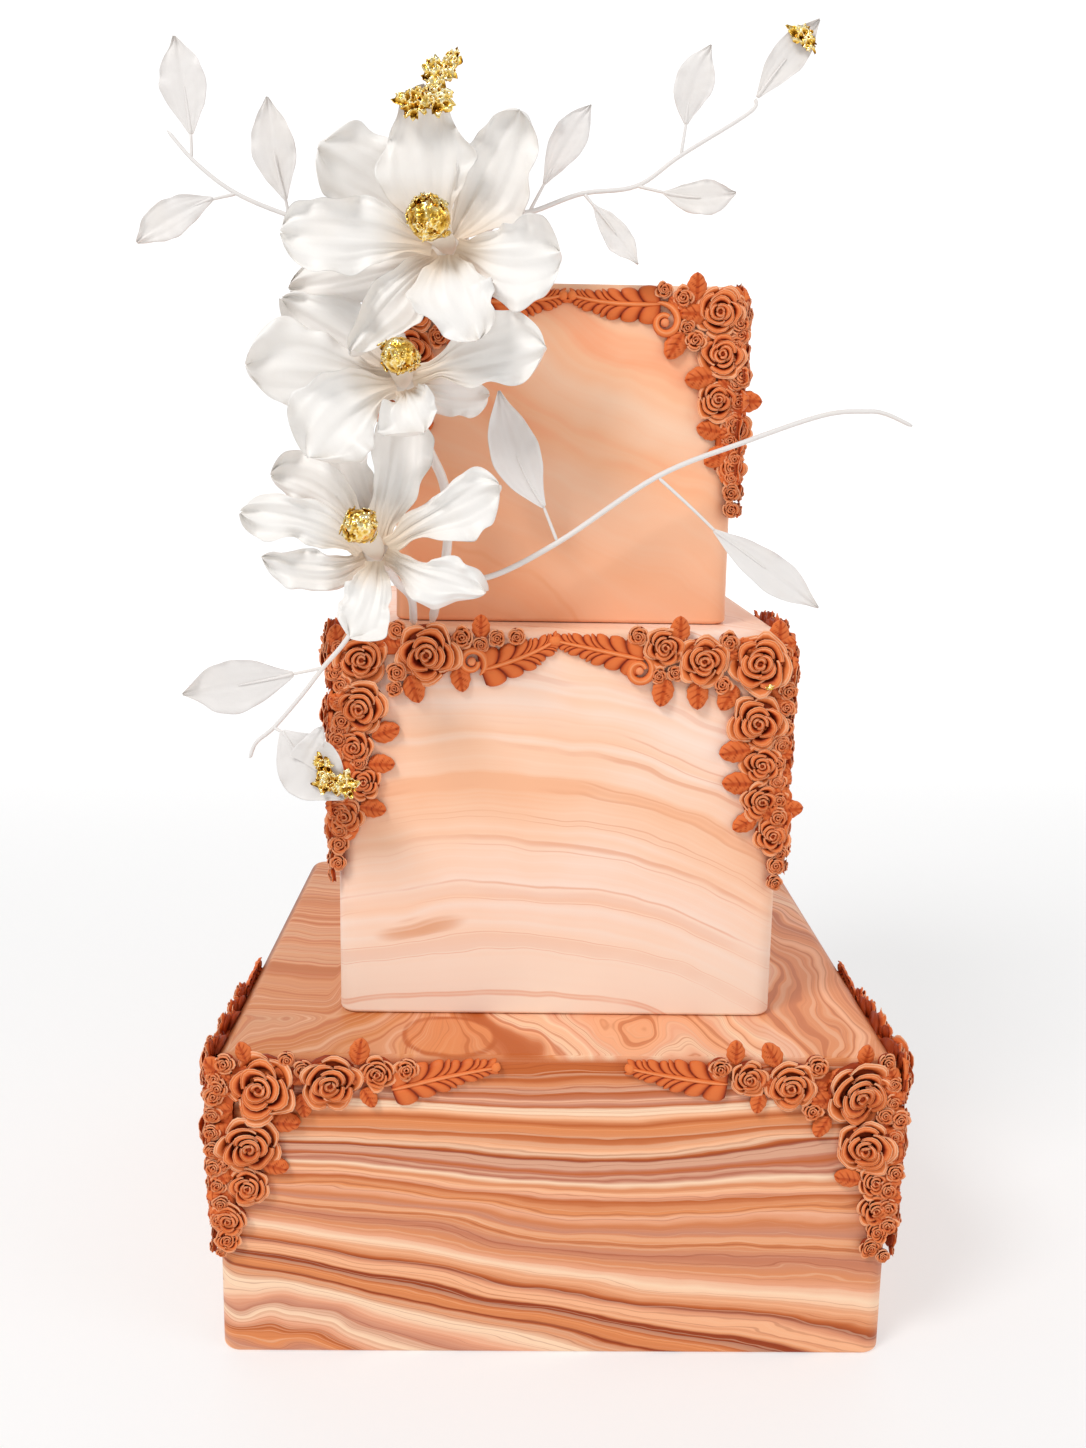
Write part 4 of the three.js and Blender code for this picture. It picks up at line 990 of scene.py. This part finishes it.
# The stems and branches
# Florist's wires dipped in white paste and pushed into the fondant. The branches fork into short
# twigs, and each twig carries a thin sugar leaf with a raised midrib over its lower half. Scraps of
# gold leaf are pressed on two of them, and the lowest leaf has a ragged point on its upper edge.
# A wire is its radii at both ends and its path. A leaf is its twig, its path beyond it, and its width.
STEMS = {
    "upper": ((2.1, 1.9), ((-49, -98, 491), (-49, -88, 494), (-52, -74, 493), (-54, -62, 485.4))),
    "middle": ((2.3, 2.1), ((-71, -105, 434), (-67, -99, 424), (-61, -96, 409), (-54, -94, 392),
        (-53, -93, 365), (-60, -92, 330.6))),
    "lower": ((1.9, 1.8), ((-80, -111, 361), (-75, -104, 351), (-69, -97, 343), (-68, -94, 330.6))),
}
BRANCHES = {
    "top_left": ((1.3, 0.8), ((-55, -92, 494), (-74, -94, 498), (-97, -94, 502), (-120, -94, 507),
        (-144, -94, 516), (-161, -94, 528), (-173, -94, 541)), {
        "high": (((-163, -94, 530), (-163, -94, 541)), ((-165, -95, 559), (-168, -96, 578)), 20),
        "middle": (((-122, -94, 508), (-123, -96, 515)), ((-127, -98, 533), (-129, -100, 554)), 19),
        "low": (((-144, -94, 516), (-155, -96, 513)), ((-171, -98, 505), (-186, -100, 494)), 16)}),
    "top_right": ((1.3, 0.8), ((-46, -92, 495), (-41, -94, 499), (-27, -94, 509), (-15, -92, 512),
        (5, -88, 520), (29, -86, 524), (48, -86, 537), (77, -86, 555), (80, -86, 561)), {
        "first": (((-18, -92, 511), (-11, -92, 524)), ((-2, -93, 540), (8, -94, 555)), 15),
        "second": (((6, -88, 520), (11, -90, 514)), ((20, -92, 503), (30, -94, 490)), 12),
        "third": (((29, -86, 524), (42, -88, 521)), ((57, -90, 519), (72, -92, 521)), 15),
        "fourth": (((48, -86, 537), (50, -86, 551)), ((52, -88, 565), (59, -90, 581)), 17),
        "end": (None, ((80, -86, 561), (92, -88, 577), (105, -90, 592)), 15)}),
    "middle_right": ((1.4, 0.9), ((-50, -96, 355), (-34, -98, 353), (-3, -98, 369), (41, -98, 399),
        (80, -98, 415), (114, -98, 427), (133, -98, 429), (142, -98, 428), (154, -98, 423)), {
        "high": (((-3, -98, 369), (-10, -99, 386)), ((-22, -99, 407), (-30, -97, 435)), 22),
        "low": (((41, -98, 399), (56, -100, 386), (68, -101, 375)), ((91, -102, 359), (115, -104, 342)),
            17)}),
    "lower_left": ((1.2, 0.8), ((-81, -109, 355), (-88, -115, 340), (-96, -120, 326), (-106, -121, 314),
        (-116, -121, 301), (-128, -121, 287), (-136, -121, 280), (-139, -121, 273)), {
        "high": (((-106, -121, 314), (-120, -122, 311)), ((-143, -123, 306), (-167, -124, 302)), 24),
        "low": (((-128, -121, 287), (-123, -124, 285)), ((-112, -128, 272), (-96, -130, 257)), 29)}),
}
LEAF_CURL = dict(round=0.0, blunt=0.0, uneven=0.35, ruffle=0.9, folds=0.15, rolled=0.6, root=0.8,
                 rib=0.0, rib_reach=0.5, veins=0.42, bow=3.0, pale=1.0)
LEAF_OUTLINE = (0.05, 0.16, 0.28, 0.38, 0.45, 0.49, 0.49, 0.44, 0.33, 0.17, 0.02)


def wire(path, radii, sides=12, steps=8):
    """A round wire along a smooth path, thinner towards its end, its ends rounded."""
    centres = np.array([smooth_through(path, place) for place in
                        np.linspace(0, len(path) - 1, (len(path) - 1) * steps + 1)])
    ways = np.gradient(centres, axis=0)
    ways /= np.linalg.norm(ways, axis=1, keepdims=True)
    across = np.cross(ways, (0.0, -1.0, 0.0))
    across /= np.maximum(np.linalg.norm(across, axis=1, keepdims=True), 0.1)
    across /= np.linalg.norm(across, axis=1, keepdims=True)
    out = np.cross(across, ways)
    share = np.linspace(0, 1, len(centres))
    size = radii[0] + (radii[1] - radii[0]) * share
    rounded = np.minimum(1, np.sqrt(np.minimum(share, 1 - share) * len(centres) / 2) * 0.8 + 0.45)
    turn = around(sides)
    rows = [centre + r * (np.outer(np.cos(turn), a) + np.outer(np.sin(turn), o))
            for centre, r, a, o in zip(centres, size * rounded, across, out)]
    return Body().ring(np.array(rows), 1.0)


# Painted shade: the leaves and branches take a greyer copy of the white paste, so the thin leaves stand off
# the white around them.
SHADED_LEAF_WHITE = sugar_white("leaf_paste_shaded", "E9E5E2")
for name, (radii, path) in STEMS.items():
    make_piece(f"wire_{name}", wire(path, radii), SUGAR_WHITE, f"stem_{name}")
for name, (radii, path, leaves) in BRANCHES.items():
    body = wire(path, radii)
    for leaf, (twig, points, width) in leaves.items():
        if twig:
            body.take(wire(twig, (0.8, 0.64)))
        root, second, tip = np.array([twig[-1], *points] if twig else points, float)
        sunk = 1.2 if twig else -0.6
        start = root - (second - root) / np.linalg.norm(second - root) * sunk
        edge = [width * share for share in LEAF_OUTLINE]
        form = blade((start, second, tip), (edge, edge), 0.12, LEAF_CURL, f"{name} {leaf}",
                     across=24, along=32)
        midrib = [curve_through(start, second, tip, t) + (0, -0.5, 0) for t in np.linspace(0.0, 0.5, 12)]
        form.take(wire(midrib, (0.8, 0.25), sides=8, steps=2))
        if (name, leaf) == ("lower_left", "low"):
            form.take(blade(((-114, -128.4, 273), (-109, -129.8, 282), (-105.3, -131.5, 290)),
                            ((7, 7, 5.5, 4, 2.5, 0.5),) * 2, 0.2, LEAF_CURL, "horn",
                            across=14, along=16))
        make_piece(f"sugar_leaf_{name}_{leaf}", form, SHADED_LEAF_WHITE, f"leaf_{name}_{leaf}")
    make_piece(f"sprig_{name}", body, SHADED_LEAF_WHITE, f"branch_{name}")
golden("gold_scrap_top_right", "leaf_top_right_end", [
    ((97.5, -91.6, 586), (5.5, 0, 1.0), (-2, 0, 4.5), (0, -1, 0.1), 7, 1.0),
    ((100.5, -92, 582.5), (3.4, 0, -2.6), (1.5, 0, 3.2), (0, -1, 0.3), 8, 0.9)])
golden("gold_scrap_lower_left", "leaf_lower_left_low", [
    ((-104.5, -131.8, 272), (3.0, 0, -7.0), (5, 0, 3), (0, -1, 0), 9, 1.5),
    ((-102.5, -132, 264.5), (7.5, 0, -2.0), (2, 0, 6.0), (0, -1, 0.2), 10, 1.6),
    ((-94.5, -132.3, 264), (5.0, 0, -4.0), (3, 0, 5.0), (0, -1, -0.2), 11, 1.3)])


# The studio
# A plain white floor and a bright surround of soft light, seen from a little above the top tier.
def studio():
    """One white sheet: a floor that sweeps up behind, and glows faintly so that its shadows stay pale."""
    paint = Paint("studio_white")
    near, far, bend, top, reach = -3.0, 2.4, 0.8, 3.6, 4.5
    sweep = np.linspace(0.1, math.pi / 2, 12)
    profile = [(near, 0.0), (far, 0.0)]
    profile += [(far + bend * math.sin(a), bend - bend * math.cos(a)) for a in sweep]
    profile += [(far + bend, top)]
    points = [(x, y, z) for y, z in profile for x in (-reach, reach)]
    faces = [(2 * k, 2 * k + 1, 2 * k + 3, 2 * k + 2) for k in range(len(profile) - 1)]
    mesh = bpy.data.meshes.new("studio")
    mesh.from_pydata(points, [], faces)
    mesh.shade_smooth()
    _, depth, _ = paint.axes(1.0)
    glow = paint.mix(depth.between(0.3, 2.2), (0.46, 0.46, 0.46), (0.74, 0.74, 0.74))
    mesh.materials.append(paint.surface(Base_Color=(0.52, 0.52, 0.52), Roughness=0.9, Emission_Color=glow,
                                        Emission_Strength=1.0))
    return show("studio", mesh)


studio()


def softbox(name, place, target, size, power, colour):
    """A round area light that faces its target."""
    light = bpy.data.lights.new(name, "AREA")
    light.shape, light.size, light.energy, light.color = "DISK", size, power, colour
    made = show(name, light)
    made.location = place
    made.rotation_euler = (Vector(target) - Vector(place)).to_track_quat("-Z", "Y").to_euler()


CAKE_MIDDLE = (0, 0, 0.3)
softbox("key_light", (-1.2, -1.5, 2.2), CAKE_MIDDLE, size=0.9, power=33, colour=(1.0, 0.99, 0.985))
softbox("fill_light", (2.0, -1.2, 1.0), CAKE_MIDDLE, size=1.4, power=9, colour=(1.0, 1.0, 1.0))
world = bpy.data.worlds.new("surround")
world.use_nodes = True
surround = world.node_tree.nodes["Background"].inputs
surround["Color"].default_value = (1.0, 1.0, 1.0, 1.0)
surround["Strength"].default_value = 0.52
bpy.context.scene.world = world
bpy.context.scene.view_settings.view_transform = "Standard"


# The camera
# Placed where the edges of the tiers line up with the photo: a little above the top tier, close by.
CAMERA_PLACE = Vector((-20.69, -727.04, 407.64)) * MM
PITCH, YAW, ROLL = math.radians(10.97), math.radians(1.14), math.radians(0.98)
LENS, SENSOR = 34.5, 36.0


def camera():
    """A camera pitched down, turned and rolled by the angles above."""
    ahead = Vector((math.sin(YAW) * math.cos(PITCH), math.cos(YAW) * math.cos(PITCH), -math.sin(PITCH)))
    right = Vector((math.cos(YAW), -math.sin(YAW), 0))
    up = right.cross(ahead)
    across = right * math.cos(ROLL) + up * math.sin(ROLL)
    upright = up * math.cos(ROLL) - right * math.sin(ROLL)
    made = show("camera", bpy.data.cameras.new("camera"))
    made.data.lens = LENS
    made.data.sensor_width = SENSOR
    place = Matrix((across, upright, -ahead)).transposed().to_4x4()
    place.translation = CAMERA_PLACE
    made.matrix_world = place
    return made


bpy.context.scene.camera = camera()
